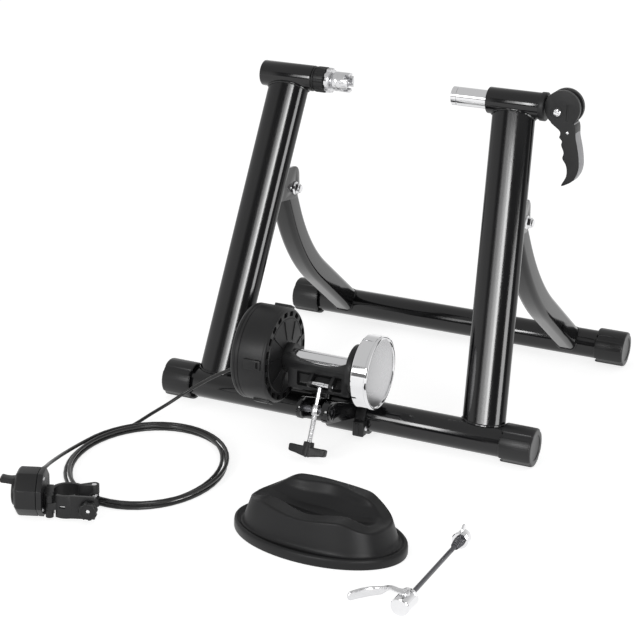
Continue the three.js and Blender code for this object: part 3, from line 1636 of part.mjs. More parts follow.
// Free stretches of the cable, each smoothed through its route points
function smoothRoute(start, startAlong, route, end, endAlong) {
  const points = [
    start,
    start.clone().addScaledVector(startAlong, cable.diameter),
    ...route.map((point) => new THREE.Vector3(...point)),
    end.clone().addScaledVector(endAlong, -cable.diameter),
    end,
  ];
  const inner = new THREE.CatmullRomCurve3(points.slice(1, -1), false, 'centripetal');
  const count = Math.round(inner.getLength() / cable.spacing);
  return [start, ...inner.getSpacedPoints(count), end];
}
const axisPoint = (group, x, y, z) => {
  group.updateMatrixWorld(true);
  return group.localToWorld(new THREE.Vector3(x, y, z));
};
const away = new THREE.Vector3(-1, 0, 0);
const glandFace = drum.back - gland.length - drum.backDish / 2;
const leadStart = axisPoint(resistance, glandFace - fit.gap, gland.y, gland.z);
const coilIn = coilLine[0];
const coilInAlong = coilLine[1].clone().sub(coilIn).normalize();
const leadEnd = coilIn.clone().addScaledVector(coilInAlong, -fit.gap);
const leadLine = smoothRoute(leadStart, away, leadRoute, leadEnd, coilInAlong);
addPiece(root, 'cable_lead', woundTube(leadLine, cableRadius, cable.tubeSides), 'blackRubber');

const coilOut = coilLine[coilLine.length - 1];
const coilOutAlong = coilOut.clone().sub(coilLine[coilLine.length - 2]).normalize();
const tailStart = coilOut.clone().addScaledVector(coilOutAlong, fit.gap);
const bossFace = axisPoint(remoteGroup, remote.bossX, remote.bossEnd + fit.gap, remote.bossZ);
const bossAlong = new THREE.Vector3(0, -1, 0).applyAxisAngle(
  new THREE.Vector3(0, 0, 1), remote.turn * degrees,
);
const tailLine = smoothRoute(tailStart, coilOutAlong, tailRoute, bossFace, bossAlong);
addPiece(root, 'cable_tail', woundTube(tailLine, cableRadius, cable.tubeSides), 'blackRubber');
const cableLengths = [leadLine, coilLine, tailLine].map((line) => lineLength(line).toFixed(0));
console.log('cable length', cableLengths.join(' + '), 'mm');

// Wheel block, in a group turned about Z
const blockGroup = new THREE.Group();
blockGroup.position.set(block.x, block.y, 0);
blockGroup.rotation.z = block.turn * degrees;
root.add(blockGroup);
function oval(halfLength, halfWidth, z, power = 2.3) {
  return Array.from({ length: block.sides }, (_, i) => {
    const angle = (i / block.sides) * 2 * Math.PI;
    const bulge = (value) => Math.sign(value) * Math.abs(value) ** (2 / power);
    return new THREE.Vector3(halfLength * bulge(Math.cos(angle)), halfWidth * bulge(Math.sin(angle)), z);
  });
}
const topHalfLength = block.bodyHalfLength - block.topInset;
const topHalfWidth = block.bodyHalfWidth - block.topTuck;
function blockShape(shrink, bottom) {
  const round = block.flangeRound;
  const flange = toSolid(skin([
    oval(block.halfLength - shrink, block.halfWidth - shrink, bottom, 2),
    oval(block.halfLength - shrink, block.halfWidth - shrink, block.flangeHeight - round - shrink, 2),
    oval(block.halfLength - round - shrink, block.halfWidth - round - shrink, block.flangeHeight - shrink, 2),
  ]));
  const top = block.height + block.flangeHeight;
  const body = toSolid(skin([
    oval(block.bodyHalfLength - shrink, block.bodyHalfWidth - shrink, bottom),
    oval(block.bodyHalfLength - shrink, block.bodyHalfWidth - shrink, block.flangeHeight),
    oval(topHalfLength - shrink, topHalfWidth - shrink, top),
  ]));
  const reach = topHalfLength;
  const archRadius = (reach * reach + block.endDrop * block.endDrop) / (2 * block.endDrop);
  const arch = rod(
    'y', 0, block.height - shrink - archRadius, archRadius, -block.halfWidth, block.halfWidth, 36,
  );
  return flange.add(body.intersect(arch));
}
function frontCut(shrink) {
  const top = block.height + block.flangeHeight;
  const line = frontRidge.map(([share, z]) => [share * block.bodyHalfLength, z - shrink]);
  const outline = [...line, [line[line.length - 1][0], top], [line[0][0], top]];
  return plate('y', outline, -block.halfWidth - fit.overrun, 0);
}
function wheelGroove(shrink) {
  const steps = 10;
  const rings = Array.from({ length: steps + 1 }, (_, i) => {
    const share = (i / steps) * 2 - 1;
    const x = share * (block.bodyHalfLength + fit.overrun);
    const rise = block.wheelRadius - Math.sqrt(block.wheelRadius ** 2 - x * x);
    const floor = block.height - block.grooveDepth - shrink + rise;
    const half = block.grooveHalfWidth + shrink + block.grooveWave * Math.cos(2 * Math.PI * share);
    const top = block.height + fit.overrun;
    return [[half * 1.25, top], [half, floor + block.grooveDepth * 0.45], [half * 0.55, floor + block.grooveDepth * 0.08], [0, floor],
      [-half * 0.55, floor + block.grooveDepth * 0.08], [-half, floor + block.grooveDepth * 0.45], [-half * 1.25, top]]
      .map(([y, z]) => new THREE.Vector3(x, y, z));
  });
  return toSolid(skin(rings));
}
const wheelBlock = blockShape(0, 0)
  .subtract(wheelGroove(0))
  .subtract(frontCut(0))
  .subtract(
    blockShape(block.wall, -fit.overrun).subtract(wheelGroove(block.wall)).subtract(frontCut(block.wall)),
  );
addPiece(blockGroup, 'wheel_block', largest(wheelBlock), 'blackPlastic');

// Skewer, lying on the floor along Y
const skewerGroup = new THREE.Group();
skewerGroup.position.set(skewer.x, 0, skewer.bodyRadius);
root.add(skewerGroup);
addPiece(
  skewerGroup,
  'skewer_rod',
  rod('y', 0, 0, skewer.rodRadius, skewer.rodStart, skewer.rodEnd, 12),
  'darkSteel',
);
const leverHalf = skewer.leverThick / 2;
const camBody = rod('y', 0, 0, skewer.bodyRadius, skewer.bodyStart, skewer.bodyEnd, middling)
  .subtract(
    rod(
      'y', 0, 0, skewer.rodRadius + fit.running, skewer.rodStart - fit.gap, skewer.bodyEnd + fit.overrun, 12,
    ),
  )
  .subtract(
    rod(
      'z', 0, skewer.leverPivotY, skewer.leverBore, -skewer.bodyRadius * 0.7, skewer.bodyRadius * 0.7, coarse,
    ),
  )
  .subtract(block3([-skewer.bodyRadius - fit.overrun, skewer.bodyStart - fit.overrun, -leverHalf - fit.gap],
    [skewer.bodyRadius + fit.overrun, skewer.leverPivotY + skewer.leverBore + fit.gap, leverHalf + fit.gap]));
addPiece(skewerGroup, 'skewer_cam_body', camBody, 'chrome');
function skewerLever() {
  const reach = skewerLeverReach;
  const line = [[0, 0, 0.07], ...skewerLeverShares].map(
    ([u, v, w]) => [u * reach, skewer.leverPivotY + v * reach, w * reach],
  );
  let solid = rod(
    'z',
    0,
    skewer.leverPivotY,
    skewer.leverRadius,
    -skewer.bodyRadius * 0.65,
    skewer.bodyRadius * 0.65,
    coarse,
  );
  for (let i = 0; i + 1 < line.length; i += 1) {
    solid = solid.add(linkPlate('z', [line[i], line[i + 1]], -leverHalf, leverHalf, coarse));
  }
  return solid;
}
addPiece(skewerGroup, 'skewer_lever', skewerLever(), 'satinSteel');
const skewerNut = rod('y', 0, 0, skewer.nutRadius, skewer.nutStart, skewer.nutEnd, middling)
  .add(
    rod(
      'y',
      0,
      0,
      skewer.nutRadius + skewer.collarStep,
      skewer.nutStart,
      skewer.nutStart + skewer.nutCollar,
      middling,
    ),
  )
  .add(
    block3(
      [-skewer.wingThick / 2, skewer.nutStart + skewer.nutCollar, 0],
      [skewer.wingThick / 2, skewer.nutEnd, skewer.wingReach],
    ),
  )
  .subtract(
    rod(
      'y', 0, 0, skewer.rodRadius + fit.running, skewer.nutStart - fit.overrun, skewer.rodEnd + fit.gap, 12,
    ),
  );
addPiece(skewerGroup, 'skewer_nut', skewerNut, 'chrome');
const springPoints = helix(
  skewer.springStart,
  skewer.nutStart - fit.gap - skewer.springWire / 2,
  skewer.springSmall,
  skewer.springLarge,
  skewer.springTurns,
)
  .map((point) => new THREE.Vector3(point.y, point.x, point.z));
addPiece(skewerGroup, 'skewer_spring', woundTube(springPoints, skewer.springWire / 2, 5), 'darkSteel');

// The origin is the middle of the footprint on the floor, without the cable
const cordPieces = new Set(['cable_lead', 'cable_coil', 'cable_tail']);
root.updateMatrixWorld(true);
const footprint = new THREE.Box3();
root.traverse((node) => {
  if (node.isMesh && !cordPieces.has(node.name)) {
    footprint.expandByObject(node, true);
  }
});
const middle = footprint.getCenter(new THREE.Vector3());
root.position.set(-middle.x, -middle.y, -footprint.min.z);
console.log('origin shift', root.position.toArray().map((value) => value.toFixed(3)).join(' '));

export default root;
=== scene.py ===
import math
import bpy
from mathutils import Matrix, Vector


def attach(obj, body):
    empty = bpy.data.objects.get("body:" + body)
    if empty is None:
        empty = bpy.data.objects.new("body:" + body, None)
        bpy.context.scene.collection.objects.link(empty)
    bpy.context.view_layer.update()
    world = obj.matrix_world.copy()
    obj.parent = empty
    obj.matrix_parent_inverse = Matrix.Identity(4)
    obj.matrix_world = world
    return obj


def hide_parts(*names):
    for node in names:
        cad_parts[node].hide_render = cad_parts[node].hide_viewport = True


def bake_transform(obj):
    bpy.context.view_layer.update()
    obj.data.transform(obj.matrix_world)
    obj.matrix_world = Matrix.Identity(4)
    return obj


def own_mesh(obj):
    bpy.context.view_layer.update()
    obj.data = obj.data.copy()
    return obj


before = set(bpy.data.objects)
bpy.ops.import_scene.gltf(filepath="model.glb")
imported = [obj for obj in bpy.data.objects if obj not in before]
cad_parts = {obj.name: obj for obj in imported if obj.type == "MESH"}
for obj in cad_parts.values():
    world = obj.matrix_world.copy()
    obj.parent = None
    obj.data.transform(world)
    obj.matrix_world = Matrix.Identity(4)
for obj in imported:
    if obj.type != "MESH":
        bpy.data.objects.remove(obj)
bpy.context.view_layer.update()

print("stage: trainer frame loaded")

# Sizes are in millimetres on the drawing, and settle() lays each finished piece in the frame, in metres
drawingZero = Vector((-4.654, 8.468, 0.0))
remotePlace, remoteTurn = (-166.5, -364.5, 0), 22
hands = (("left", -1), ("right", 1))


def spot(x, y, z, turn=0.0, axis="Z"):
    place = Matrix.Translation((Vector((x, y, z)) + drawingZero) * 0.001)
    return place @ Matrix.Rotation(math.radians(turn), 4, axis) @ Matrix.Scale(0.001, 4)


spots = {
    "stand": spot(0, 0, 0),
    "axle": spot(0, 137, 397),
    "unit": spot(0, -58, 104),
    "bolt": spot(3, -80.6, 85.4, -24.193, "X"),
    "remote": spot(*remotePlace, remoteTurn),
    "block": spot(102, -290, 0, -5),
    "skewer": spot(244.5, 0, 10),
}

# Camera at the photograph's place
cameraSettings = {"azimuth": 24.547, "elevation": 19.378, "roll": 1.506, "depth": 2256.5, "right": 30.21,
                  "down": 132.46, "lens": 103.41, "sensor": 36}


def placeCamera(s):
    a, e, roll = (math.radians(s[k]) for k in ("azimuth", "elevation", "roll"))
    level = Vector((math.cos(a), math.sin(a), 0))
    ahead = Vector((-math.sin(a) * math.cos(e), math.cos(a) * math.cos(e), -math.sin(e)))
    upright = Vector((-math.sin(a) * math.sin(e), math.cos(a) * math.sin(e), math.cos(e)))
    right = math.cos(roll) * level + math.sin(roll) * upright
    up = math.cos(roll) * upright - math.sin(roll) * level
    eye = (drawingZero - s["depth"] * ahead - s["right"] * right + s["down"] * up) * 0.001
    bpy.ops.object.camera_add()
    camera = bpy.context.object
    camera.name = "photoCamera"
    camera.matrix_world = Matrix.Translation(eye) @ Matrix((right, up, -ahead)).transposed().to_4x4()
    camera.data.lens = s["lens"]
    camera.data.sensor_width = s["sensor"]
    camera.data.clip_start = 0.05
    bpy.context.scene.camera = camera


bpy.ops.object.select_all(action="DESELECT")
placeCamera(cameraSettings)
print("stage: camera placed")


# Materials: each gets its grain, its uneven gloss and a slight drift of colour from noise on the object
lookSettings = {"cloud": 14, "cloudDetail": 5, "stops": (0.35, 0.65), "grainDetail": 3, "bump": 0.5,
                "leastRough": 0.02, "ringWaver": 0.6, "ringDetail": 1, "ringBump": 0.6}


def addNode(tree, kind, values=(), links=()):
    # values are set on the inputs, and links come from the outputs of other nodes
    node = tree.nodes.new("ShaderNode" + kind)
    for name, value in dict(values).items():
        node.inputs[name].default_value = value
    for name, output in dict(links).items():
        tree.links.new(output, node.inputs[name])
    return node


def makeLook(name, colour, metallic, roughness, spread, grain, depth, drift=0.12, specular=0.5, rings=None):
    s = lookSettings
    look = bpy.data.materials.new(name)
    look.use_nodes = True
    tree = look.node_tree
    shader = tree.nodes["Principled BSDF"]
    shader.inputs["Metallic"].default_value = metallic
    shader.inputs["Specular IOR Level"].default_value = specular
    place = addNode(tree, "TexCoord").outputs["Object"]
    cloud = addNode(tree, "TexNoise", {"Scale": s["cloud"], "Detail": s["cloudDetail"]}, {"Vector": place})
    ramp = addNode(tree, "ValToRGB", links={"Fac": cloud.outputs["Fac"]})
    for stop, position, share in zip(ramp.color_ramp.elements, s["stops"], (1 - drift, 1 + drift)):
        stop.position = position
        stop.color = [min(1, c * share) for c in colour] + [1]
    gloss = addNode(tree, "MapRange", {"To Min": max(s["leastRough"], roughness - spread),
                                       "To Max": roughness + spread}, {"Value": cloud.outputs["Fac"]})
    fine = addNode(tree, "TexNoise", {"Scale": grain, "Detail": s["grainDetail"]}, {"Vector": place})
    bump = addNode(tree, "Bump", {"Strength": s["bump"], "Distance": depth * 0.001},
                   {"Height": fine.outputs["Fac"]})
    if rings:
        centre, scale, high = rings
        middle = addNode(tree, "Mapping", {"Location": [-c for c in centre]}, {"Vector": place})
        bands = addNode(tree, "TexWave", {"Scale": scale, "Distortion": s["ringWaver"],
                                          "Detail": s["ringDetail"]}, {"Vector": middle.outputs["Vector"]})
        bands.wave_type, bands.rings_direction = "RINGS", "X"
        bump = addNode(tree, "Bump", {"Strength": s["ringBump"], "Distance": high * 0.001},
                       {"Height": bands.outputs["Fac"], "Normal": bump.outputs["Normal"]})
    tree.links.new(ramp.outputs["Color"], shader.inputs["Base Color"])
    tree.links.new(gloss.outputs["Result"], shader.inputs["Roughness"])
    tree.links.new(bump.outputs["Normal"], shader.inputs["Normal"])
    return look


rollerCentre = tuple(spots["unit"].translation)
looks = {
    "paint": makeLook("glossBlackPowderCoat", (0.004, 0.004, 0.0045), 0, 0.12, 0.02, 420, 0.008),
    "moulded": makeLook("satinBlackMoulding", (0.009, 0.009, 0.0095), 0, 0.42, 0.05, 1500, 0.04,
                        specular=0.36),
    "capPlastic": makeLook("capBlackMoulding", (0.008, 0.008, 0.0085), 0, 0.34, 0.05, 1300, 0.04,
                           specular=0.42),
    "blockPlastic": makeLook("blowMouldedBlack", (0.0065, 0.0065, 0.007), 0, 0.43, 0.05, 900, 0.05,
                             specular=0.3),
    "sheath": makeLook("cableSheath", (0.01, 0.01, 0.01), 0, 0.3, 0.05, 1600, 0.03),
    "chrome": makeLook("brightChrome", (0.78, 0.78, 0.79), 1, 0.06, 0.02, 700, 0.003, drift=0.02),
    "turned": makeLook("turnedFlywheelFace", (0.57, 0.57, 0.58), 1, 0.28, 0.05, 900, 0.006, drift=0.03,
                       rings=(rollerCentre, 900, 0.006)),
    "satin": makeLook("satinPlatedSteel", (0.7, 0.7, 0.71), 1, 0.27, 0.08, 1100, 0.02, drift=0.05),
    "oiled": makeLook("darkOiledSteel", (0.13, 0.13, 0.14), 0.9, 0.38, 0.08, 1100, 0.03),
    "aluminium": makeLook("castAluminium", (0.6, 0.6, 0.61), 1, 0.36, 0.06, 1000, 0.02, drift=0.05),
    "grip": makeLook("greyGripInsert", (0.3, 0.3, 0.31), 0.15, 0.42, 0.05, 1200, 0.04, drift=0.05),
    "magnet": makeLook("ferriteMagnet", (0.06, 0.06, 0.065), 0.5, 0.5, 0.08, 1400, 0.04),
}
print("stage: materials made")


# Working steps
def deselect():
    if bpy.context.mode != "OBJECT":
        bpy.ops.object.mode_set(mode="OBJECT")
    bpy.ops.object.select_all(action="DESELECT")


def pick(piece):
    deselect()
    piece.select_set(True)
    bpy.context.view_layer.objects.active = piece
    return piece


def loft(name, rings, closed=True):
    # a grid is rolled up: one row for each ring, and its long edges are merged
    around, along = len(rings[0]), len(rings)
    deselect()
    bpy.ops.mesh.primitive_grid_add(x_subdivisions=around, y_subdivisions=along - 1, size=1)
    piece = bpy.context.object
    piece.name = name
    corners = piece.data.vertices
    for row, ring in enumerate(rings):
        for step in range(around + 1):
            corners[row * (around + 1) + step].co = ring[step % around]
    bpy.ops.object.mode_set(mode="EDIT")
    bpy.ops.mesh.select_all(action="SELECT")
    bpy.ops.mesh.remove_doubles(threshold=0.001)
    if closed:
        bpy.ops.mesh.fill_holes(sides=0)
        bpy.ops.mesh.normals_make_consistent(inside=False)
    bpy.ops.object.mode_set(mode="OBJECT")
    return piece


def across(axis, along, u, v):
    return {"x": (along, u, v), "y": (u, along, v), "z": (u, v, along)}[axis]


def eased(share):
    t = min(1, max(0, share))
    return t * t * (3 - 2 * t)


def disc(u, v, radius, sides=48):
    return [(u + radius * math.cos(2 * math.pi * i / sides), v + radius * math.sin(2 * math.pi * i / sides))
            for i in range(sides)]


def oval(halfWide, halfDeep, power, sides):
    # with a power of 2 it is an ellipse, with more it comes nearer to a box
    return [tuple(half * math.copysign(abs(c) ** (2 / power), c) for half, c in zip((halfWide, halfDeep), p))
            for p in disc(0, 0, 1, sides)]


def prism(name, axis, outline, start, end):
    return loft(name, [[across(axis, along, u, v) for u, v in outline] for along in (start, end)])


def rod(name, axis, u, v, radius, start, end, sides=48):
    return prism(name, axis, disc(u, v, radius, sides), start, end)


def lathe(name, profile, axis="x", u=0.0, v=0.0, sides=64):
    return loft(name, [[across(axis, along, *p) for p in disc(u, v, max(radius, 0), sides)]
                       for along, radius in profile])


def pipe(name, start, end, radius, bore, u=0.0, v=0.0, sides=72):
    return lathe(name, [(start, radius), (end, radius), (end, bore), (start, bore), (start, radius)],
                 "x", u, v, sides)


def lobedLathe(name, profile, lobes, axis="x", u=0.0, v=0.0, sides=144):
    # rows are place, radius and whether there are lobes; lobes are count, depth, phase, crest, half and flank
    count, depth, phase, crest, half, flank = lobes
    rings = []
    for along, radius, lobed in profile:
        ring = []
        for i, (c, d) in enumerate(disc(0, 0, 1, sides)):
            r = radius - lobed * depth * eased((abs((i * count / sides + phase) % 1 - crest) - half) / flank)
            ring.append(across(axis, along, u + r * c, v + r * d))
        rings.append(ring)
    return loft(name, rings)


def box(name, low, high):
    deselect()
    bpy.ops.mesh.primitive_cube_add(size=1)
    piece = bpy.context.object
    piece.name = name
    for corner in piece.data.vertices:
        corner.co = [lo if c < 0 else hi for c, lo, hi in zip(corner.co, low, high)]
    return piece


def applied(piece, modifier):
    pick(piece)
    bpy.ops.object.modifier_apply(modifier=modifier.name)
    return piece


def combine(piece, other, operation):
    modifier = piece.modifiers.new("combine", "BOOLEAN")
    modifier.object = other
    modifier.operation = operation
    modifier.solver = "EXACT"
    applied(piece, modifier)
    bpy.data.objects.remove(other)
    return piece


def cut(piece, *others):
    for other in others:
        combine(piece, other, "DIFFERENCE")
    return piece


def add(piece, *others):
    for other in others:
        combine(piece, other, "UNION")
    return piece


def soften(piece, width, segments=2, angle=32.0):
    modifier = piece.modifiers.new("edges", "BEVEL")
    modifier.width = width
    modifier.segments = segments
    modifier.limit_method = "ANGLE"
    modifier.angle_limit = math.radians(angle)
    return applied(piece, modifier)


def turned(piece, angle, axis="X", at=(0, 0, 0)):
    piece.data.transform(Matrix.Translation(at) @ Matrix.Rotation(angle, 4, axis))
    return piece


def crossCut(screw, low, high, first, axis, at):
    for turn in (0, 90):
        cut(screw, turned(box("crossCutter", low, high), math.radians(turn + first), axis, at))
    return screw


def tangentPlate(name, axis, circles, start, end, sides=48):
    parts = [rod(name, axis, u, v, radius, start, end, sides) for u, v, radius in circles]
    deselect()
    for part in parts:
        part.select_set(True)
    bpy.context.view_layer.objects.active = parts[0]
    bpy.ops.object.join()
    bpy.ops.object.mode_set(mode="EDIT")
    bpy.ops.mesh.select_all(action="SELECT")
    bpy.ops.mesh.convex_hull()
    bpy.ops.mesh.select_all(action="SELECT")
    bpy.ops.mesh.dissolve_limited(angle_limit=math.radians(0.5))
    bpy.ops.object.mode_set(mode="OBJECT")
    return bpy.context.object


def refined(node, width, segments=2, angle=32.0):
    # a merged copy of a plain solid, with its edges broken; it is laid in metres already
    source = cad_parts[node]
    piece = bpy.data.objects.new(node + "Dressed", source.data.copy())
    bpy.context.scene.collection.objects.link(piece)
    pick(piece)
    bpy.ops.object.mode_set(mode="EDIT")
    bpy.ops.mesh.select_all(action="SELECT")
    bpy.ops.mesh.remove_doubles(threshold=0.000002)
    bpy.ops.mesh.dissolve_limited(angle_limit=math.radians(0.6))
    bpy.ops.object.mode_set(mode="OBJECT")
    return soften(piece, width * 0.001, segments, angle)


def settle(piece, place, body, look, *nodes, smooth=35):
    pick(piece)
    if place:
        piece.data.transform(spots[place])
    piece.data.update()
    bpy.ops.object.shade_smooth_by_angle(angle=math.radians(smooth))
    piece.data.materials.clear()
    piece.data.materials.append(looks[look])
    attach(piece, body)
    if nodes:
        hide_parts(*nodes)
    return piece


def smoothThrough(points, steps):
    # centripetal curve through the points, without its first and last
    out = []
    for i in range(1, len(points) - 2):
        p = points[i - 1:i + 3]
        t = [0.0]
        for a, b in zip(p, p[1:]):
            t.append(t[-1] + math.sqrt((b - a).length))
        for k in range(steps):
            x = t[1] + (t[2] - t[1]) * k / steps
            first = [p[j] + (p[j + 1] - p[j]) * (x - t[j]) / (t[j + 1] - t[j]) for j in range(3)]
            second = [first[j] + (first[j + 1] - first[j]) * (x - t[j]) / (t[j + 2] - t[j]) for j in range(2)]
            out.append(second[0] + (second[1] - second[0]) * (x - t[1]) / (t[2] - t[1]))
    return out


def smoothPlane(points, steps, cyclic=True):
    flat = [Vector((p[0], p[1], 0)) for p in points]
    flat = [flat[-1], *flat, *flat[:2]] if cyclic else [flat[0] * 2 - flat[1], *flat, flat[-1] * 2 - flat[-2]]
    line = smoothThrough(flat, steps) + ([] if cyclic else [flat[-2]])
    return [Vector((p.x, p.y)) for p in line]


def tubeAlong(name, line, radius, shares=None, cyclic=False):
    # a round tube on a line; each share is the radius at a point
    bpy.ops.curve.primitive_nurbs_path_add()
    tube = bpy.context.object
    tube.name = name
    tube.data.splines.clear()
    spline = tube.data.splines.new("POLY")
    spline.points.add(len(line) - 1)
    for point, at, share in zip(spline.points, line, shares or [1] * len(line)):
        point.co = (*at, 1)
        point.radius = share
    spline.use_cyclic_u = cyclic
    tube.data.use_fill_caps = not cyclic
    tube.data.bevel_depth = radius
    tube.data.bevel_resolution = 3
    pick(tube)
    bpy.ops.object.convert(target="MESH")
    return bpy.context.object


def weldBead(name, line, radius):
    return tubeAlong(name, line, radius, [1 + 0.09 * math.sin(i * 2.1) for i in range(len(line))], True)


# Cable: one run from the brake to the remote, in the route of its solids
cableSettings = {"diameter": 4.4, "sleeve": 4.1, "sleeveEnd": 0.66, "sleeveLong": 17, "ribDeep": 0.07,
                 "bendFrom": 78, "bendTo": 37, "exit": (-109.4, -52, 80), "inside": (8, 0, 0),
                 "boss": (-42, 26.3, 34), "curve": 5, "coilX": -152, "coilY": -217.5, "halfWidth": 93.4,
                 "halfLength": 117.6, "coilTurn": 14.8, "pitch": 6.4, "gap": 0.15, "layerRise": 5.1,
                 "startAngle": 140, "turns": 3.05, "steps": 48}
leadPoints = [(-115, -52, 79.6), (-128, -52, 72), (-152, -52, 58), (-173, -52.5, 43.5), (-191, -57, 30.5),
              (-208, -71, 17), (-220, -93, 8.6), (-226.5, -117, 4), (-232, -139, 2.5)]
tailPoints = [(-247.5, -218, 8.4), (-243, -255, 13), (-231, -300, 22), (-219.5, -331, 30)]


def coilPoint(turn, s):
    inward = s["pitch"] * min(turn, s["turns"] - turn)
    climb = eased(2 * (turn - s["turns"] / 2) + 0.5)
    angle, tilted = math.radians(s["startAngle"] + 360 * turn), math.radians(s["coilTurn"])
    along = (s["halfWidth"] - inward) * math.cos(angle)
    aside = (s["halfLength"] - inward) * math.sin(angle)
    return Vector((s["coilX"] + along * math.cos(tilted) - aside * math.sin(tilted),
                   s["coilY"] + along * math.sin(tilted) + aside * math.cos(tilted),
                   s["diameter"] / 2 + s["gap"] + s["layerRise"] * climb))


def makeCable(s):
    count = round(s["turns"] * s["steps"])
    coil = [coilPoint(i / count * s["turns"], s) for i in range(count + 1)]
    turn, exitPoint = Matrix.Rotation(math.radians(remoteTurn), 3, "Z"), Vector(s["exit"])
    boss, into = turn @ Vector(s["boss"]) + Vector(remotePlace), turn @ Vector((0, -s["diameter"], 0))
    lead = [exitPoint + Vector(s["inside"]), exitPoint, *map(Vector, leadPoints), coil[0], coil[1]]
    tail = [coil[-2], coil[-1], *map(Vector, tailPoints), boss - into, boss, boss + into]
    line = smoothThrough(lead, s["curve"]) + coil[:-1] + smoothThrough(tail, s["curve"]) + [boss]
    line = [(p + drawingZero) * 0.001 for p in line]
    cable = tubeAlong("brakeCable", line, s["diameter"] * 0.0005)
    bpy.ops.object.shade_smooth_by_angle(angle=math.radians(60))
    cable.data.materials.append(looks["sheath"])
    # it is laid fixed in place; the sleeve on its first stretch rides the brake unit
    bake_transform(cable)
    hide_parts("cable_lead", "cable_coil", "cable_tail")
    for name, body, way in (("glandStrainRelief", "unit", line), ("remoteStrainRelief", "stand", line[::-1])):
        run, reach = [way[0]], 0
        for p in way[1:]:
            reach += (p - run[-1]).length
            if reach > s["sleeveLong"] * 0.001:
                break
            run.append(p)
        shares = [1 - (1 - s["sleeveEnd"]) * k / (len(run) - 1) - s["ribDeep"] * (k % 2)
                  for k in range(len(run))]
        settle(tubeAlong(name, run, s["sleeve"] * 0.001, shares), None, body, "moulded", smooth=40)


deselect()
makeCable(cableSettings)
print("stage: cable laid")

# Bars and their end caps
barSettings = {"radius": 19, "wall": 2, "end": 240.7, "height": 23.4}
# name, place along the stand and body
barRows = (("front", 0, "stand"), ("rear", 379, "rear_frame"))


def makeBar(name, y, s):
    return soften(pipe(name, -s["end"], s["end"], s["radius"], s["radius"] - s["wall"], y, s["height"]), 0.4)


for end, y, body in barRows:
    settle(makeBar(end + "BarTube", y, barSettings), "stand", body, "paint", end + "_bar")

capSettings = {"radius": 23.4, "groove": 22.5, "start": 208, "tongue": 2.3, "end": 245, "bore": 19.15,
               "deep": 241, "inset": 15.2, "insetDepth": 1.0, "padHalf": 34, "edge": 3, "flatHalf": 8,
               "sides": 144}


def capRing(s, x, inset, side, slip, y):
    ring = []
    for i in range(s["sides"]):
        angle = 360 * (i + 0.5) / s["sides"]
        off = abs((angle + 45) % 90 - 45)
        pad = min(1, max(0, (s["padHalf"] + s["edge"] - off) / s["edge"]))
        radius = s["groove"] + (s["radius"] - s["groove"]) * pad
        if off < s["flatHalf"]:
            radius = s["radius"] / math.cos(math.radians(off))
        radius -= inset
        at = math.radians(angle)
        ring.append((side * (x - slip * pad), y + radius * math.cos(at), s["radius"] + radius * math.sin(at)))
    return ring


def roundRing(s, x, radius, side, y):
    angles = [2 * math.pi * (i + 0.5) / s["sides"] for i in range(s["sides"])]
    return [(side * x, y + radius * math.cos(a), s["radius"] + radius * math.sin(a)) for a in angles]


def makeCap(name, side, y, s):
    start, end, floor, r = s["start"], s["end"], s["end"] - s["insetDepth"], s["inset"]
    rings = [roundRing(s, x, radius, side, y)
             for x, radius in ((s["deep"], 0), (s["deep"], s["bore"]), (start, s["bore"]))]
    rings += [capRing(s, start + x, inset, side, s["tongue"], y)
              for x, inset in ((0, 1.6), (0.3, 0.7), (1.0, 0.2), (2.0, 0))]
    rings += [capRing(s, end + x, inset, side, 0, y)
              for x, inset in ((-2.6, 0), (-1.4, 0.25), (-0.5, 0.9), (-0.1, 1.7), (0, 2.6))]
    rings += [roundRing(s, x, radius, side, y)
              for x, radius in ((end, r + 0.9), (end - 0.15, r + 0.4), (floor + 0.15, r), (floor, r - 0.5),
                                (floor, 0))]
    return loft(name, rings)


for end, y, body in barRows:
    for hand, side in hands:
        settle(makeCap(end + hand.title() + "FootCap", side, y, capSettings), "stand", body, "capPlastic",
               f"{end}_{hand}_cap")
print("stage: bars and caps made")

# Uprights, flat-oval tube, with a weld bead where they meet the bar and the axle tube
uprightSettings = {"footX": 178.4, "headX": 147.6, "width": 53, "depth": 26, "power": 2.35, "sides": 96,
                   "barZ": 23.4, "axleY": 137, "axleZ": 397, "bead": 1.7, "barCut": 19.1, "tubeCut": 16.1,
                   "barWeld": 19.2, "tubeWeld": 16.2, "reach": 260}
axleTubeSettings = {"start": 115, "end": 185, "radius": 16, "bore": 11.8}


def softBox(width, depth, radius, sides=10):
    out = []
    for cu, cv, start in ((1, 1, 0), (-1, 1, 90), (-1, -1, 180), (1, -1, 270)):
        for i in range(sides + 1):
            a = math.radians(start + 90 * i / sides)
            out.append((cu * (width / 2 - radius) + radius * math.cos(a),
                        cv * (depth / 2 - radius) + radius * math.sin(a)))
    return out


def crossRing(outline, centre, along, wide):
    deep = along.cross(wide)
    return [centre + wide * u + deep * v for u, v in outline]


def weldLine(outline, centre, along, wide, axisY, axisZ, radius, far):
    # where the section's edges meet the round tube
    out = []
    for p in crossRing(outline, centre, along, wide):
        dy, dz = p.y - axisY, p.z - axisZ
        a = along.y ** 2 + along.z ** 2
        b = dy * along.y + dz * along.z
        c = dy * dy + dz * dz - radius * radius
        root = math.sqrt(max(0, b * b - a * c))
        out.append(p + along * ((-b + root) / a if far else (-b - root) / a))
    return out


def uprightSection(side, s, room=0.0):
    foot = Vector((side * s["footX"], 0, s["barZ"]))
    head = Vector((side * s["headX"], s["axleY"], s["axleZ"]))
    along = (head - foot).normalized()
    wide = (Vector((1, 0, 0)) - along * along.x).normalized()
    outline = oval((s["width"] + room) / 2, (s["depth"] + room) / 2, s["power"], s["sides"])
    return outline, foot, head, along, wide


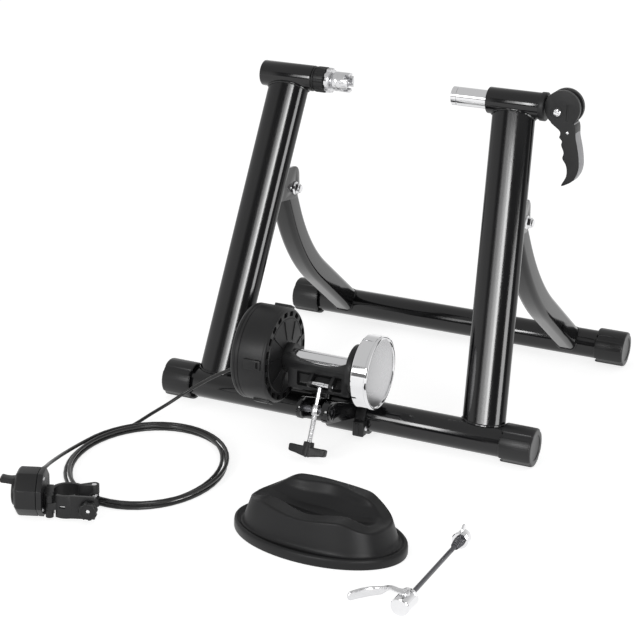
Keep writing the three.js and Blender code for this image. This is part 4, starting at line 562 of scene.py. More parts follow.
def makeUpright(hand, side, s):
    outline, foot, head, along, wide = uprightSection(side, s)
    tube = loft(hand + "UprightTube", [crossRing(outline, end, along, wide) for end in (foot, head)])
    cut(tube, rod("barCutter", "x", 0, s["barZ"], s["barCut"], -s["reach"], s["reach"], 96),
        rod("axleCutter", "x", s["axleY"], s["axleZ"], s["tubeCut"], -s["reach"], s["reach"], 96))
    settle(tube, "stand", "stand", "paint", hand + "_upright")
    for name, end, y, radius in (("FootWeld", foot, 0, s["barWeld"]),
                                 ("HeadWeld", head, s["axleY"], s["tubeWeld"])):
        line = weldLine(outline, end, along, wide, y, s["axleZ"] if y else s["barZ"], radius, end is foot)
        settle(weldBead(hand + name, line, s["bead"]), "stand", "stand", "paint")


def makeAxleTube(hand, side, s):
    tube = pipe(hand + "AxleSleeve", side * s["start"], side * s["end"], s["radius"], s["bore"])
    settle(soften(tube, 1.1, 3), "axle", "stand", "paint", hand + "_axle_tube")


for hand, side in hands:
    makeUpright(hand, side, uprightSettings)
    makeAxleTube(hand, side, axleTubeSettings)
print("stage: uprights welded")

# Rear legs, bent box tube, and the brackets and bolts that they fold on
legSettings = {"width": 28, "depth": 32, "corner": 8, "pivotX": 155.007, "pivotY": 130.129, "pivotZ": 255,
               "footX": 166, "footY": 379, "footZ": 23.4, "steepLead": 16.7, "lowLag": 9.2, "bend": 330,
               "steps": 24, "head": 15, "straight": 14, "boltHole": 5.1, "bead": 1.6}


def legRing(point, along, share, side, s):
    x = s["pivotX"] + (s["footX"] - s["pivotX"]) * (s["pivotZ"] - point.y) / (s["pivotZ"] - s["footZ"])
    return [Vector((side * x + u, point.x - along.y * v * share, point.y + along.x * v * share))
            for u, v in softBox(s["width"], s["depth"], s["corner"])]


def makeLeg(hand, side, s, upright):
    chord = math.degrees(math.atan2(s["pivotZ"] - s["footZ"], s["footY"] - s["pivotY"]))
    steepAngle, lowAngle = math.radians(chord + s["steepLead"]), math.radians(chord - s["lowLag"])
    steep = Vector((math.cos(steepAngle), -math.sin(steepAngle)))
    low = Vector((math.cos(lowAngle), -math.sin(lowAngle)))
    pivot, foot = Vector((s["pivotY"], s["pivotZ"])), Vector((s["footY"], s["footZ"]))
    span = foot - pivot
    run = (span.x * low.y - span.y * low.x) / (steep.x * low.y - steep.y * low.x)
    start = pivot + steep * (run - s["bend"] * math.tan((steepAngle - lowAngle) / 2))
    centre = start + Vector((-steep.y, steep.x)) * s["bend"]
    # its head is rounded off, with the shares of the head's length that each ring lies back
    rows = []
    for share in (1, 0.98, 0.92, 0.8, 0.62, 0.4, 0.2, 0):
        high = s["head"] / (s["depth"] / 2) * math.sqrt(max(0.004, 1 - share * share))
        rows.append((pivot - steep * (s["head"] * share), steep, high))
    rows.append((pivot + steep * s["straight"], steep, 1))
    for i in range(s["steps"] + 1):
        angle = -steepAngle + (steepAngle - lowAngle) * i / s["steps"]
        along = Vector((math.cos(angle), math.sin(angle)))
        rows.append((centre - Vector((-along.y, along.x)) * s["bend"], along, 1))
    rows.append((foot, low, 1))
    leg = loft(hand + "RearLegTube", [legRing(*row, side, s) for row in rows])
    reach = upright["reach"]
    cut(leg, rod("barCutter", "x", s["footY"], s["footZ"], upright["barCut"], -reach, reach, 96),
        rod("boltCutter", "x", s["pivotY"], s["pivotZ"], s["boltHole"], -reach, reach))
    settle(leg, "stand", "rear_frame", "paint", hand + "_rear_leg")
    bead = weldLine(softBox(s["width"], s["depth"], s["corner"]), Vector((side * s["footX"], *foot)),
                    Vector((0, *low)), Vector((1, 0, 0)), s["footY"], s["footZ"], upright["barWeld"], False)
    settle(weldBead(hand + "LegWeld", bead, s["bead"]), "stand", "rear_frame", "paint")


bracketSettings = {"earIn": 15.2, "earOut": 18.7, "eye": 13.6, "crest": (-2, 14, 14.5), "foot": 9, "head": 31,
                   "corner": 1.6, "web": 16.4, "cornerIn": 8, "cornerUp": 2, "hole": 5.1, "room": 0.4}


def makeFoldBracket(hand, side, s, upright):
    x, y, z = side * legSettings["pivotX"], legSettings["pivotY"], legSettings["pivotZ"]
    slope = upright["axleY"] / (upright["axleZ"] - upright["barZ"])
    low, high = z - s["foot"], z + s["head"]
    lowY, highY = (low - upright["barZ"]) * slope, (high - upright["barZ"]) * slope
    back, up, crest = s["crest"]
    bracket = prism(hand + "FoldPlates", "x", [(lowY, low), (lowY + s["web"], low), (highY + s["web"], high),
                                               (highY, high)], x - s["earOut"], x + s["earOut"])
    circles = [
        (y, z, s["eye"]), (y + back, z + up, crest), (lowY + s["cornerIn"], low + s["cornerUp"], s["corner"]),
        (highY + s["cornerIn"], high - s["cornerUp"], s["corner"])]
    for start, end in ((x - s["earOut"], x - s["earIn"]), (x + s["earIn"], x + s["earOut"])):
        add(bracket, tangentPlate("ear", "x", circles, start, end, 64))
    outline, foot, head, along, wide = uprightSection(side, upright, s["room"])
    cut(bracket, loft("uprightRoom", [crossRing(outline, end, along, wide) for end in (foot, head)]),
        rod("boltRoom", "x", y, z, s["hole"], x - 30, x + 30))
    front = box("frontRoom", (x - 40, lowY - 40, low - 20), (x + 40, lowY, high + 20))
    for corner in front.data.vertices:
        corner.co.y += (corner.co.z - low) * slope
    cut(bracket, front)
    settle(soften(bracket, 0.7, 2, 40), "stand", "stand", "paint", hand + "_pivot_bracket")


boltSettings = {"half": 19, "shank": 4.9, "head": 7.2, "headHigh": 4.6, "socket": 3.2, "socketDeep": 2.4,
                "flange": 8.4, "flangeHigh": 1.4, "nut": 6.9, "nutHigh": 5.6, "tip": 8.9}


def makeFoldBolt(hand, side, s):
    x, y, z = side * legSettings["pivotX"], legSettings["pivotY"], legSettings["pivotZ"]
    start, end, high, r = x - s["half"], x + s["half"], s["headHigh"], s["head"]
    bolt = lathe(hand + "FoldScrew", [
        (start - high, 0), (start - high, r * 0.55), (start - high * 0.86, r * 0.78),
        (start - high * 0.5, r * 0.95), (start, r), (start, s["shank"]), (end + s["tip"] - 0.7, s["shank"]),
        (end + s["tip"], s["shank"] - 0.8), (end + s["tip"], 0)], "x", y, z)
    cut(bolt, rod("socketCutter", "x", y, z, s["socket"], start - high - 1, start - high + s["socketDeep"],
                  6))
    settle(bolt, "stand", "stand", "chrome", hand + "_fold_bolt")
    nut = soften(rod(hand + "FlangeNut", "x", y, z, s["nut"], end, end + s["flangeHigh"] + s["nutHigh"], 6),
                 0.7, 2, 50)
    add(nut, lathe("flange", [(end, 0), (end, s["flange"]), (end + 1, s["flange"] - 0.2),
                              (end + s["flangeHigh"] + 1, s["nut"] - 0.6), (end + s["flangeHigh"] + 1, 0)],
                   "x", y, z))
    cut(nut, rod("nutBore", "x", y, z, s["shank"] + 0.2, end - 2, end + 12))
    settle(nut, "stand", "stand", "chrome", hand + "_fold_nut")


for hand, side in hands:
    makeLeg(hand, side, legSettings, uprightSettings)
    makeFoldBolt(hand, side, boltSettings)
    makeFoldBracket(hand, side, bracketSettings, uprightSettings)
print("stage: legs and fold bolts made")

# Left clamp: ribbed knob, lock ring and crown cup
# lobes are count, depth, phase, crest, half and flank, in shares of a lobe
adjusterSettings = {"knobStart": -114.7, "knobEnd": -98.0, "radius": 16,
                    "ribs": (12, 1.0, 0, 0.32, 0.25, 0.07), "bore": 8.2, "sleeve": 11.6, "sleeveEnd": -136.7,
                    "ringStart": -97.0, "ringEnd": -91.0, "ringRadius": 15.6,
                    "scallops": (10, 1.6, 0.3, 0.32, 0.25, 0.07), "cupStart": -90.7, "cupEnd": -67.0,
                    "cupRadius": 12.2, "neck": 9.6, "screw": 8, "screwEnd": -142.7, "bowl": 8.6,
                    "bowlDepth": 12, "notch": 5.0, "notchDepth": 5.5}


def makeAdjuster(s):
    a, b, r, end, bore = s["knobStart"], s["knobEnd"], s["radius"], s["sleeveEnd"], s["bore"]
    knob = lobedLathe("adjusterGrip", [
        (end, bore, 0), (end, s["sleeve"], 0), (a, s["sleeve"], 0), (a, r - 1.4, 0), (a + 0.4, r - 0.7, 0),
        (a + 2.2, r - 0.7, 0), (a + 2.5, r - 1.5, 0), (a + 3.1, r - 1.5, 0), (a + 3.3, r - 0.6, 1),
        (a + 3.9, r, 1), (b - 1.2, r, 1), (b - 0.4, r - 0.3, 1), (b, r - 1.1, 1), (b, bore, 0),
        (end, bore, 0)], s["ribs"])
    settle(knob, "axle", "knob", "moulded", "adjuster_knob")
    a, b, r = s["ringStart"], s["ringEnd"], s["ringRadius"]
    ring = lobedLathe("lockRingPlated", [
        (a, bore, 0), (a, r - 0.8, 1), (a + 0.3, r - 0.2, 1), (a + 0.9, r, 1), (b - 0.9, r, 1),
        (b - 0.3, r - 0.2, 1), (b, r - 0.8, 1), (b, bore, 0), (a, bore, 0)], s["scallops"])
    settle(ring, "axle", "ring", "satin", "lock_ring")
    a, b, r, screw = s["cupStart"], s["cupEnd"], s["cupRadius"], s["screw"]
    out, bowl, floor = s["screwEnd"], s["bowl"], b - s["bowlDepth"]
    cup = lathe("crownCupPlated", [
        (out, 0), (out, screw - 0.8), (out + 0.8, screw), (a, screw), (a, s["neck"]), (a + 1.6, s["neck"]),
        (a + 3.6, r - 0.5), (a + 5.2, r), (a + 9.0, r), (a + 9.3, r - 0.5), (a + 10.0, r - 0.5),
        (a + 10.3, r), (b, r), (b, bowl + 0.6), (b - 0.8, bowl), (floor, bowl), (floor - 1.6, bowl * 0.5),
        (floor - 1.6, 0)], sides=96)
    for angle in (45, 135):
        notch = box("notchCutter", (b - s["notchDepth"], -20, -s["notch"] / 2), (b + 5, 20, s["notch"] / 2))
        cut(cup, turned(notch, math.radians(angle)))
    cut(cup, rod("pinHoleCutter", "y", a + 14, 1.5, 1.5, -20, 0, 24))
    settle(soften(cup, 0.35, 2, 40), "axle", "cup", "satin", "crown_cup")


makeAdjuster(adjusterSettings)

# Right clamp: chrome pin, collar and cam lever
pinSettings = {"tip": 69, "radius": 11.5, "shoulder": 146, "groove": 76, "grooveWide": 1.6, "grooveDeep": 0.9,
               "bowl": 8, "bowlFloor": 5.5, "bowlDepth": 7, "tail": 6, "tailEnd": 193.8, "tangStart": 172,
               "tangHalf": 4, "tangRadius": 6.4}
leverSettings = {"x": 209.3, "z": 2.2, "radius": 21.5, "half": 10.3, "slot": 4.5, "slotDrop": 14,
                 "pivotX": 203.2, "pivotZ": -3.2, "pivotRadius": 3, "head": 4.6, "recess": 8,
                 "recessDeep": 1.2, "barX": 216.0, "barZ": -2.4, "barLong": 19.7, "barWide": 2.8,
                 "rivetX": 217.5, "rivetZ": -25.9, "rivet": 1.6, "edge": 0.9}
handleShares = [
    (-0.62, -0.78), (-0.04, -1.27), (-0.02, -1.46), (-0.06, -1.6), (0.11, -1.8), (0.08, -2.0), (0.25, -2.44),
    (0.2, -2.75), (0.42, -3.1), (0.5, -3.45), (0.47, -3.78), (0.24, -4.3), (0.55, -4.18), (0.86, -3.96),
    (1.06, -3.6), (1.15, -3.2), (1.12, -2.7), (1.01, -2.11), (0.86, -1.55), (0.7, -0.75)]
gripShares = handleShares[:12:-1]


def makePin(s, v):
    tip, r, groove, half = s["tip"], s["radius"], s["groove"], s["tangHalf"]
    tail, out = s["tail"], s["tailEnd"]
    end, deep, floor = groove + s["grooveWide"], r - s["grooveDeep"], tip + s["bowlDepth"]
    body = lathe("clampPinPlated", [
        (floor, 0), (floor, s["bowlFloor"]), (tip, s["bowl"]), (tip, r - 0.9), (tip + 0.9, r), (groove, r),
        (groove + 0.3, deep), (end - 0.3, deep), (end, r), (s["shoulder"], r), (s["shoulder"], tail),
        (out, tail), (out, 0)], sides=96)
    add(body, tangentPlate("tang", "y", [(out, 0, tail - 0.3), (v["pivotX"], v["pivotZ"], s["tangRadius"])],
                           -half, half))
    cut(body, box("flatCutter", (s["tangStart"], half, -15), (205, 15, 15)),
        box("flatCutter", (s["tangStart"], -15, -15), (205, -half, 15)),
        rod("pivotCutter", "y", v["pivotX"], v["pivotZ"], v["pivotRadius"] + 0.2, -20, 20))
    settle(body, "axle", "pin", "chrome", "clamp_pin")


def makeLever(s):
    x, z, r, half, at = s["x"], s["z"], s["radius"], s["half"], (s["pivotX"], s["pivotZ"])
    face, hole = half - s["recessDeep"], s["pivotRadius"] + 0.2
    wide, high = s["barWide"] / 2, s["barLong"] / 2
    outline = [(x + u * r, z + w * r) for u, w in handleShares]
    lever = prism("camLeverBody", "y", smoothPlane(outline, 5), -half, half)
    add(lever, rod("leverDisc", "y", x, z, r, -half, half, 96))
    cut(lever, box("slotCutter", (x - 30, -s["slot"], z - s["slotDrop"]), (x + 30, s["slot"], z + 30)))
    for side in (-1, 1):
        low, top = sorted((side * face, side * (half + 4)))
        cut(lever, rod("recessCutter", "y", *at, s["recess"], low, top),
            box("barCutter", (s["barX"] - wide, low, s["barZ"] - high),
                (s["barX"] + wide, top, s["barZ"] + high)))
    cut(lever, rod("pivotCutter", "y", *at, hole, -20, 20))
    soften(lever, s["edge"], 3, 45)
    for side in (-1, 1):
        washer = rod("washer", "y", *at, s["head"] + 1.5, *sorted((side * (face - 0.5), side * (face + 0.5))))
        cut(washer, rod("pivotCutter", "y", *at, hole, -20, 20))
        add(lever, soften(washer, 0.3, 2, 45))
    settle(lever, "axle", "quick_lever", "moulded", "cam_lever")
    back = smoothPlane([(x + u * r, z + w * r) for u, w in gripShares], 4, False)
    outer = [p + Vector((0.7, -0.1)) for p in back]
    inner = [p - Vector((2.0, -0.4)) for p in reversed(back)]
    grip = prism("leverGripInsert", "y", outer + inner, -half + 1.1, half - 1.1)
    settle(soften(grip, 0.5, 2, 50), "axle", "quick_lever", "grip")
    for name, side in (("leverRivetNear", -1), ("leverRivetFar", 1)):
        rivet = lathe(name, [(side * (half + out), s["rivet"] * share)
                             for out, share in ((-1, 0), (-1, 1), (0.2, 1), (0.6, 0.5), (0.6, 0))],
                      "y", s["rivetX"], s["rivetZ"], 24)
        settle(rivet, "axle", "quick_lever", "satin")
    proud, head = face + 0.3, s["head"]
    profile = [(-proud - 1.6, 0), (-proud - 1.6, head * 0.6), (-proud - 0.9, head * 0.92), (-proud, head),
               (-proud, s["pivotRadius"])]
    profile += [(-along, radius) for along, radius in reversed(profile)]
    screw = lathe("leverPivotPin", profile, "y", *at)
    crossCut(screw, (-3, -proud - 3, -0.45), (3, -proud - 0.7, 0.45), 20, "Y", (at[0], 0, at[1]))
    settle(screw, "axle", "pin", "chrome", "lever_pivot_screw")


# The spring behind the pin, which the lever presses together as it draws the pin back; here it is laid once,
# at rest, with a mesh of its own
springSettings = {"start": 146.3, "end": 185, "radius": 9, "wire": 0.95, "turns": 7, "steps": 32,
                  "closed": 2.1, "keep": 0.62}


def makeClampSpring(s):
    line, steps, closed = [], s["turns"] * s["steps"], s["wire"] * s["closed"]
    low, high = s["start"] + s["wire"], s["end"] - s["wire"]
    pitch = (high - low - 2 * closed) / (s["turns"] - 2)
    for k in range(steps + 1):
        turn = s["turns"] * k / steps
        # the first and the last turn lie close
        along = turn * closed if turn < 1 else closed + (turn - 1) * pitch
        if turn > s["turns"] - 1:
            along = high - low - (s["turns"] - turn) * closed
        angle = 2 * math.pi * turn
        line.append(Vector((low + along, s["radius"] * math.cos(angle), s["radius"] * math.sin(angle))))
    spring = tubeAlong("clampSpringCoil", line, s["wire"])
    settle(spring, "axle", "stand", "oiled", "clamp_spring", smooth=60)
    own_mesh(spring)


collarSettings = {"start": 181, "end": 187.5, "radius": 17.2, "seat": 185.3, "bore": 16.2, "hole": 6.2}


def makeCollar(s):
    a, b, r, seat, bore, hole = s["start"], s["end"], s["radius"], s["seat"], s["bore"], s["hole"]
    collar = lathe("sleeveCollar", [(a, bore), (a, r), (b, r), (b, hole), (seat, hole), (seat, bore),
                                    (a, bore)])
    settle(soften(collar, 0.6), "axle", "stand", "moulded", "tube_collar")


makePin(pinSettings, leverSettings)
makeClampSpring(springSettings)
makeLever(leverSettings)
makeCollar(collarSettings)
print("stage: clamps made")

# Roller, flywheel and the brake's covers
rollerSettings = {"radius": 11.4, "start": -40.6, "end": 34.6, "shaft": 5, "shaftStart": -57,
                  "shaftEnd": 68.8}
flywheelSettings = {"start": 49, "end": 69.7, "radius": 43.7, "rim": 37.6, "dome": 1.4, "hub": 12,
                    "bore": 5.2, "back": 53.5}


def makeRoller(s):
    a, b, r, shaft, low, high = s["start"], s["end"], s["radius"], s["shaft"], s["shaftStart"], s["shaftEnd"]
    roller = lathe("rollerOnShaft", [
        (low, 0), (low, shaft - 0.6), (low + 0.6, shaft), (a, shaft), (a, r - 0.8), (a + 0.8, r),
        (b - 0.8, r), (b, r - 0.8), (b, shaft), (high - 0.6, shaft), (high, shaft - 0.6), (high, 0)],
        sides=96)
    settle(roller, "unit", "roller_assembly", "chrome", "roller", "drive_shaft")


def makeFlywheel(s):
    a, b, r, hub, back, bore = s["start"], s["end"], s["radius"], s["hub"], s["back"], s["bore"]
    face = b - s["dome"] - 0.2
    profile = [(back, bore), (a, bore), (a, hub), (back, hub + 1.5), (back, s["rim"] - 3), (a, s["rim"]),
               (a, r - 1.1), (a + 0.35, r - 0.4), (a + 1.1, r), (b - 4.2, r), (b - 3.9, r - 0.45),
               (b - 3.5, r - 0.45), (b - 3.2, r), (b - 1.6, r), (b - 0.6, r - 0.4), (b - 0.1, r - 1.2),
               (b, r - 2.0), (b - 0.25, r - 2.6), (b - 0.9, r - 3.2), (face, r - 3.8)]
    profile += [(face + 0.9 * (1 - share * share), (r - 4.2) * share)
                for share in (1, 0.92, 0.8, 0.66, 0.52, 0.4, 0.3, 0.2, 0.1, 0)]
    profile += [(a + 13, 0), (a + 13, bore), (back, bore)]
    wheel = lathe("flywheelTurned", profile, sides=128)
    settle(wheel, "unit", "roller_assembly", "chrome", "flywheel", smooth=25)
    # the face is turned, the rim is bright
    wheel.data.materials.append(looks["turned"])
    centre = spots["unit"].translation
    for face in wheel.data.polygons:
        away = math.hypot(face.center.y - centre.y, face.center.z - centre.z)
        outside = face.center.x > centre.x + (b - 3) * 0.001 and away < (r - 3.9) * 0.001
        face.material_index = 1 if outside else 0


def threaded(name, axis, radius, pitch, depth, start, end, u=0.0, v=0.0, sides=24, plain=0.0):
    # a screw thread: each ring is turned a little on from the one before it
    rings, steps = [], max(8, round((end - start) / pitch * 5))
    for k in range(steps + 1):
        along = start + (end - start) * k / steps
        fade = 1 if plain <= 0 else min(1, max(0, (along - start) / plain))
        ring = []
        for i, (c, d) in enumerate(disc(0, 0, 1, sides)):
            r = radius - depth * abs(((along / pitch + i / sides) % 1) * 2 - 1) * fade
            ring.append(across(axis, along, u + r * c, v + r * d))
        rings.append(ring)
    return loft(name, rings)


drumSettings = {"seam": -89.5, "face": -55, "back": -100, "radius": 57.6, "wall": 2.6, "vents": 20,
                "ventLow": 47.5, "ventHigh": 53.5, "ventWide": 9, "clips": (0, 62, 175, 242), "clipFrom": -81,
                "clipTo": -59, "clipHalf": 6, "clipTop": 60.4, "ribs": 9, "dish": 3, "gland": (6, -24),
                "glandRadius": 5, "glandEnd": -109, "backRibs": 6}


def makeInnerCover(s):
    seam, face, r, wall = s["seam"], s["face"], s["radius"], s["wall"]
    cover = lathe("innerBrakeCover", [
        (seam, r - 0.5), (seam + 0.5, r), (face - 4.2, r), (face - 2.4, r - 0.5), (face - 0.9, r - 1.7),
        (face - 0.15, r - 3.1), (face, r - 4.2), (face, 46.3), (face - 0.5, 45.9), (face - 0.5, 45.1),
        (face + 0.1, 44.7), (face + 3.1, 21.4), (face + 3.6, 19.2), (face + 3.6, 7), (face + 1, 7),
        (face + 1, 17), (face - wall, 45), (face - wall, r - 5), (face - 5, r - wall), (seam, r - wall),
        (seam, r - 0.5)], sides=160)
    for k in range(s["vents"]):
        slot = box("slotCutter", (face - wall - 2, s["ventLow"], -s["ventWide"] / 2),
                   (face + 3, s["ventHigh"], s["ventWide"] / 2))
        cut(cover, turned(soften(slot, 1.2, 2), 2 * math.pi * k / s["vents"]))
    for k in range(s["ribs"]):
        rib = prism("coneRib", "z", [(face - 1, 20), (face + 3.9, 20), (face + 3.9, 22), (face + 1.3, 43.6),
                                     (face - 1, 43.6)], -0.9, 0.9)
        add(cover, turned(rib, 2 * math.pi * (k + 0.35) / s["ribs"]))
    for angle in s["clips"]:
        clip = box("clipBody", (s["clipFrom"], r - 1.4, -s["clipHalf"]),
                   (s["clipTo"], s["clipTop"], s["clipHalf"]))
        soften(clip, 0.9, 2)
        cut(clip, box("clipWindow", (s["clipTo"] - 5.4, r + 0.4, -3.4), (s["clipTo"] - 2.4, r + 6, 3.4)))
        add(cover, turned(clip, math.radians(angle)))
    settle(cover, "unit", "unit", "moulded", "inner_cover", smooth=28)


def makeOuterCover(s):
    seam, back, r, wall, inner = s["seam"] - 0.3, s["back"], s["radius"], s["wall"], s["back"] - s["dish"]
    profile = [
        (seam, r - 0.5), (seam - 0.5, r), (seam - 3.4, r), (seam - 3.6, r - 0.5), (seam - 4.3, r - 0.5),
        (seam - 4.5, r), (back + 3.6, r), (back + 1.9, r - 0.6), (back + 0.6, r - 1.9), (back, r - 3.8),
        (back, 49), (back + 0.9, 47.8), (back + 0.9, 46.4), (back - 0.2, 45.4)]
    profile += [(back - s["dish"] * (1 - share ** 2), 44 * share) for share in (0.9, 0.75, 0.6, 0.45, 0.3)]
    profile += [(inner + 0.4, 11), (inner + 0.9, 10.2), (inner + 0.9, 0), (inner + 4, 0), (back + wall, 24),
                (back + wall, r - 5), (back + 5, r - wall), (seam, r - wall), (seam, r - 0.5)]
    cover = lathe("outerBrakeCover", profile, sides=160)
    end, radius = s["glandEnd"], s["glandRadius"]
    add(cover, lathe("glandBoss", [(back + 1, 0), (back + 1, radius + 1.2), (back - 2.4, radius + 0.7),
                                   (back - 3.2, radius), (end + 0.8, radius), (end, radius - 0.8), (end, 0)],
                     "x", *s["gland"]))
    for k in range(s["backRibs"]):
        rib = box("backRib", (back - 1.1, 14, -0.8), (back + 1, 44, 0.8))
        add(cover, turned(rib, math.radians(360 / s["backRibs"] * k + 18)))
    settle(cover, "unit", "unit", "moulded", "outer_cover", smooth=28)


cradleSettings = {"left": (-50.8, -41.6), "right": (35.6, 46), "leftHub": 17, "rightHub": 29,
                  "eye": (50, -36, 11), "inner": 13.2, "outer": 17.6, "front": 11, "rear": -3, "dip": 10,
                  "lugs": (-10.7, 16.7), "lugHalf": 2, "lug": (-22.6, -18.6, 5.6), "bore": 9.8, "skirt": -31,
                  "skirtBack": -6, "window": (-31, 27, -27, -8.5), "boltHole": 5.1, "pinHole": 2.7}


def makeCradle(s):
    (a0, a1), (b0, b1) = s["left"], s["right"]
    cradle = tangentPlate("rollerCradle", "x", [(0, 0, s["leftHub"]), s["eye"]], a0, a1)
    add(cradle, tangentPlate("rightArm", "x", [(0, 0, s["rightHub"]), s["eye"]], b0, b1 - 3.6, 96),
        lathe("rightHub", [(b1 - 6, 0), (b1 - 6, 25.6), (b1 - 0.8, 25.6), (b1, 24.8), (b1, 0)], sides=96))
    start = [math.pi - math.asin(s["front"] / r) for r in (s["inner"], s["outer"])]
    end = [2 * math.pi + math.asin(s["rear"] / r) for r in (s["inner"], s["outer"])]
    outline = []
    for r, first, last in ((s["inner"], start[0], end[0]), (s["outer"], end[1], start[1])):
        outline += [(r * math.cos(first + (last - first) * k / 40),
                     r * math.sin(first + (last - first) * k / 40)) for k in range(41)]
    saddle = prism("saddle", "x", outline, a1 - 1, b0 + 1)
    low, high, floor, top = s["window"]
    skirt = box("skirt", (a1 - 1, -s["outer"] + 0.6, s["skirt"]), (b0 + 1, s["skirtBack"], -2))
    cut(skirt, soften(box("windowCutter", (low, -30, floor), (high, s["skirtBack"] - 3, top)), 2.2, 3, 60))
    add(saddle, skirt)
    span = b0 - a1
    bend = (span * span / 4 + s["dip"] ** 2) / (2 * s["dip"])
    cut(saddle, rod("dipCutter", "y", (a1 + b0) / 2, s["front"] - s["dip"] + bend, bend, -25, 0, 220))
    add(cradle, saddle)
    y, z, r = s["lug"]
    for at in s["lugs"]:
        add(cradle, tangentPlate("lug", "x", [(y, z, r), (-14.5, -13, 5)], at - s["lugHalf"],
                                 at + s["lugHalf"], 32))
    cut(cradle, rod("rollerRoom", "x", 0, 0, s["inner"], a1, b0, 96),
        rod("bearingRoom", "x", 0, 0, s["bore"], -52, 48),
        rod("boltRoom", "x", *s["eye"][:2], s["boltHole"], -60, 60),
        rod("pinRoom", "x", y, z, s["pinHole"], -30, 30))
    soften(cradle, 0.7, 2, 40)
    settle(cradle, "unit", "unit", "moulded", "cradle")


makeRoller(rollerSettings)
makeFlywheel(flywheelSettings)
makeInnerCover(drumSettings)
makeOuterCover(drumSettings)
makeCradle(cradleSettings)
print("stage: brake unit made")

# Bracket on the front bar, its strap and the pivot bolt of the unit
pivotBoltSettings = {"y": -8, "z": 68, "start": -53.1, "end": 48.3, "radius": 4.9, "head": 7.4, "thick": 2.0}
unitBracketSettings = {"left": (-17, -12), "right": (15, 23), "wrap": 24, "bar": 19.2, "barZ": 23.4,
                       "ear": (-93, 57.8, 13), "eye": (-8, 68, 11), "sleeve": 7.5, "boltHole": 5.1,
                       "pinHole": 4.4}
strapSettings = {"start": 23.3, "end": 35.3, "wall": 3.7, "lugY": (-31, -16), "lugZ": (6, 25),
                 "screw": (-23.2, 15.5, 38.5)}


def makePivotBolt(s):
    neck = s["end"] - s["thick"]
    bolt = rod("unitPivotBolt", "x", s["y"], s["z"], s["radius"], s["start"], neck + 0.1)
    head = rod("boltHead", "x", s["y"], s["z"], s["head"], neck, s["end"], 6)
    settle(add(bolt, soften(head, 0.5, 2, 50)), "stand", "stand", "oiled", "unit_pivot_bolt")


def makeUnitBracket(s):
    ear, eye = s["ear"], s["eye"]
    bracket = rod("unitBracketWelded", "x", 0, s["barZ"], s["wrap"], s["left"][0], s["right"][1], 96)
    for start, end in (s["left"], s["right"]):
        add(bracket, tangentPlate("eyePlate", "x", [(0, s["barZ"], s["wrap"]), eye], start, end, 64),
            tangentPlate("earPlate", "x", [(-12, s["barZ"] + 8, 8), ear], start, end, 64))
    for start, end in ((s["left"][0] - 1.4, s["left"][0] + 1), (s["right"][1] - 1, s["right"][1] + 1.6)):
        add(bracket, rod("earRing", "x", *ear[:2], ear[2] - 2.6, start, end, 64))
    add(bracket, rod("sleeve", "x", *eye[:2], s["sleeve"], s["left"][0], s["right"][1]))
    cut(bracket, rod("barRoom", "x", 0, s["barZ"], s["bar"], -40, 40, 96),
        box("floorCutter", (-40, -140, -9), (40, 60, 4.2)),
        rod("boltRoom", "x", *eye[:2], s["boltHole"], -60, 60),
        rod("pinRoom", "x", *ear[:2], s["pinHole"], -60, 60))
    settle(soften(bracket, 0.8, 2, 40), "stand", "stand", "paint", "unit_bracket")


def makeStrap(s, bracket):
    (a, b), (y0, y1), (z0, z1) = (s["start"], s["end"]), s["lugY"], s["lugZ"]
    strap = rod("barStrap", "x", 0, bracket["barZ"], bracket["bar"] + s["wall"], a, b, 96)
    add(strap, soften(box("strapLug", (a, y0, z0), (b + 2.4, y1, z1)), 1.6, 3, 50),
        soften(box("strapRib", (a + 3.4, y0 - 1.2, z0 + 2), (b - 3, y1, z1 - 2)), 0.8, 2, 50))
    cut(strap, rod("barRoom", "x", 0, bracket["barZ"], bracket["bar"], -60, 60, 96),
        box("floorCutter", (0, -60, -9), (60, 60, 0.2)))
    settle(soften(strap, 0.6, 2, 40), "stand", "stand", "moulded", "bracket_strap")
    y, z, tip = s["screw"]
    screw = lathe("strapScrewTip", [(b - 4, 0), (b - 4, 2.2), (tip - 0.6, 2.2), (tip - 0.6, 3.1),
                                    (tip + 0.5, 2.7), (tip + 1.0, 1.6), (tip + 1.1, 0)], "x", y, z, 32)
    settle(screw, "stand", "stand", "satin")


makePivotBolt(pivotBoltSettings)
makeUnitBracket(unitBracketSettings)
makeStrap(strapSettings, unitBracketSettings)
print("stage: unit bracket made")

# Tension bolt with its cross pin, trunnion nut and wing knob
tensionSettings = {"half": 16, "cross": 3.0, "rodRadius": 3.2, "rodTop": -3.7, "rodEnd": -87.7,
                   "threadFrom": -26, "pitch": -1.5, "threadDeep": 0.42, "nut": -30.26, "pin": 4.2,
                   "pinLeft": -20, "pinRight": 20, "knobTop": -68.5, "hub": 6.4, "hubLong": 13, "span": 23,
                   "wingTop": -73.0, "wingLow": -86.2, "thick": 5.5}


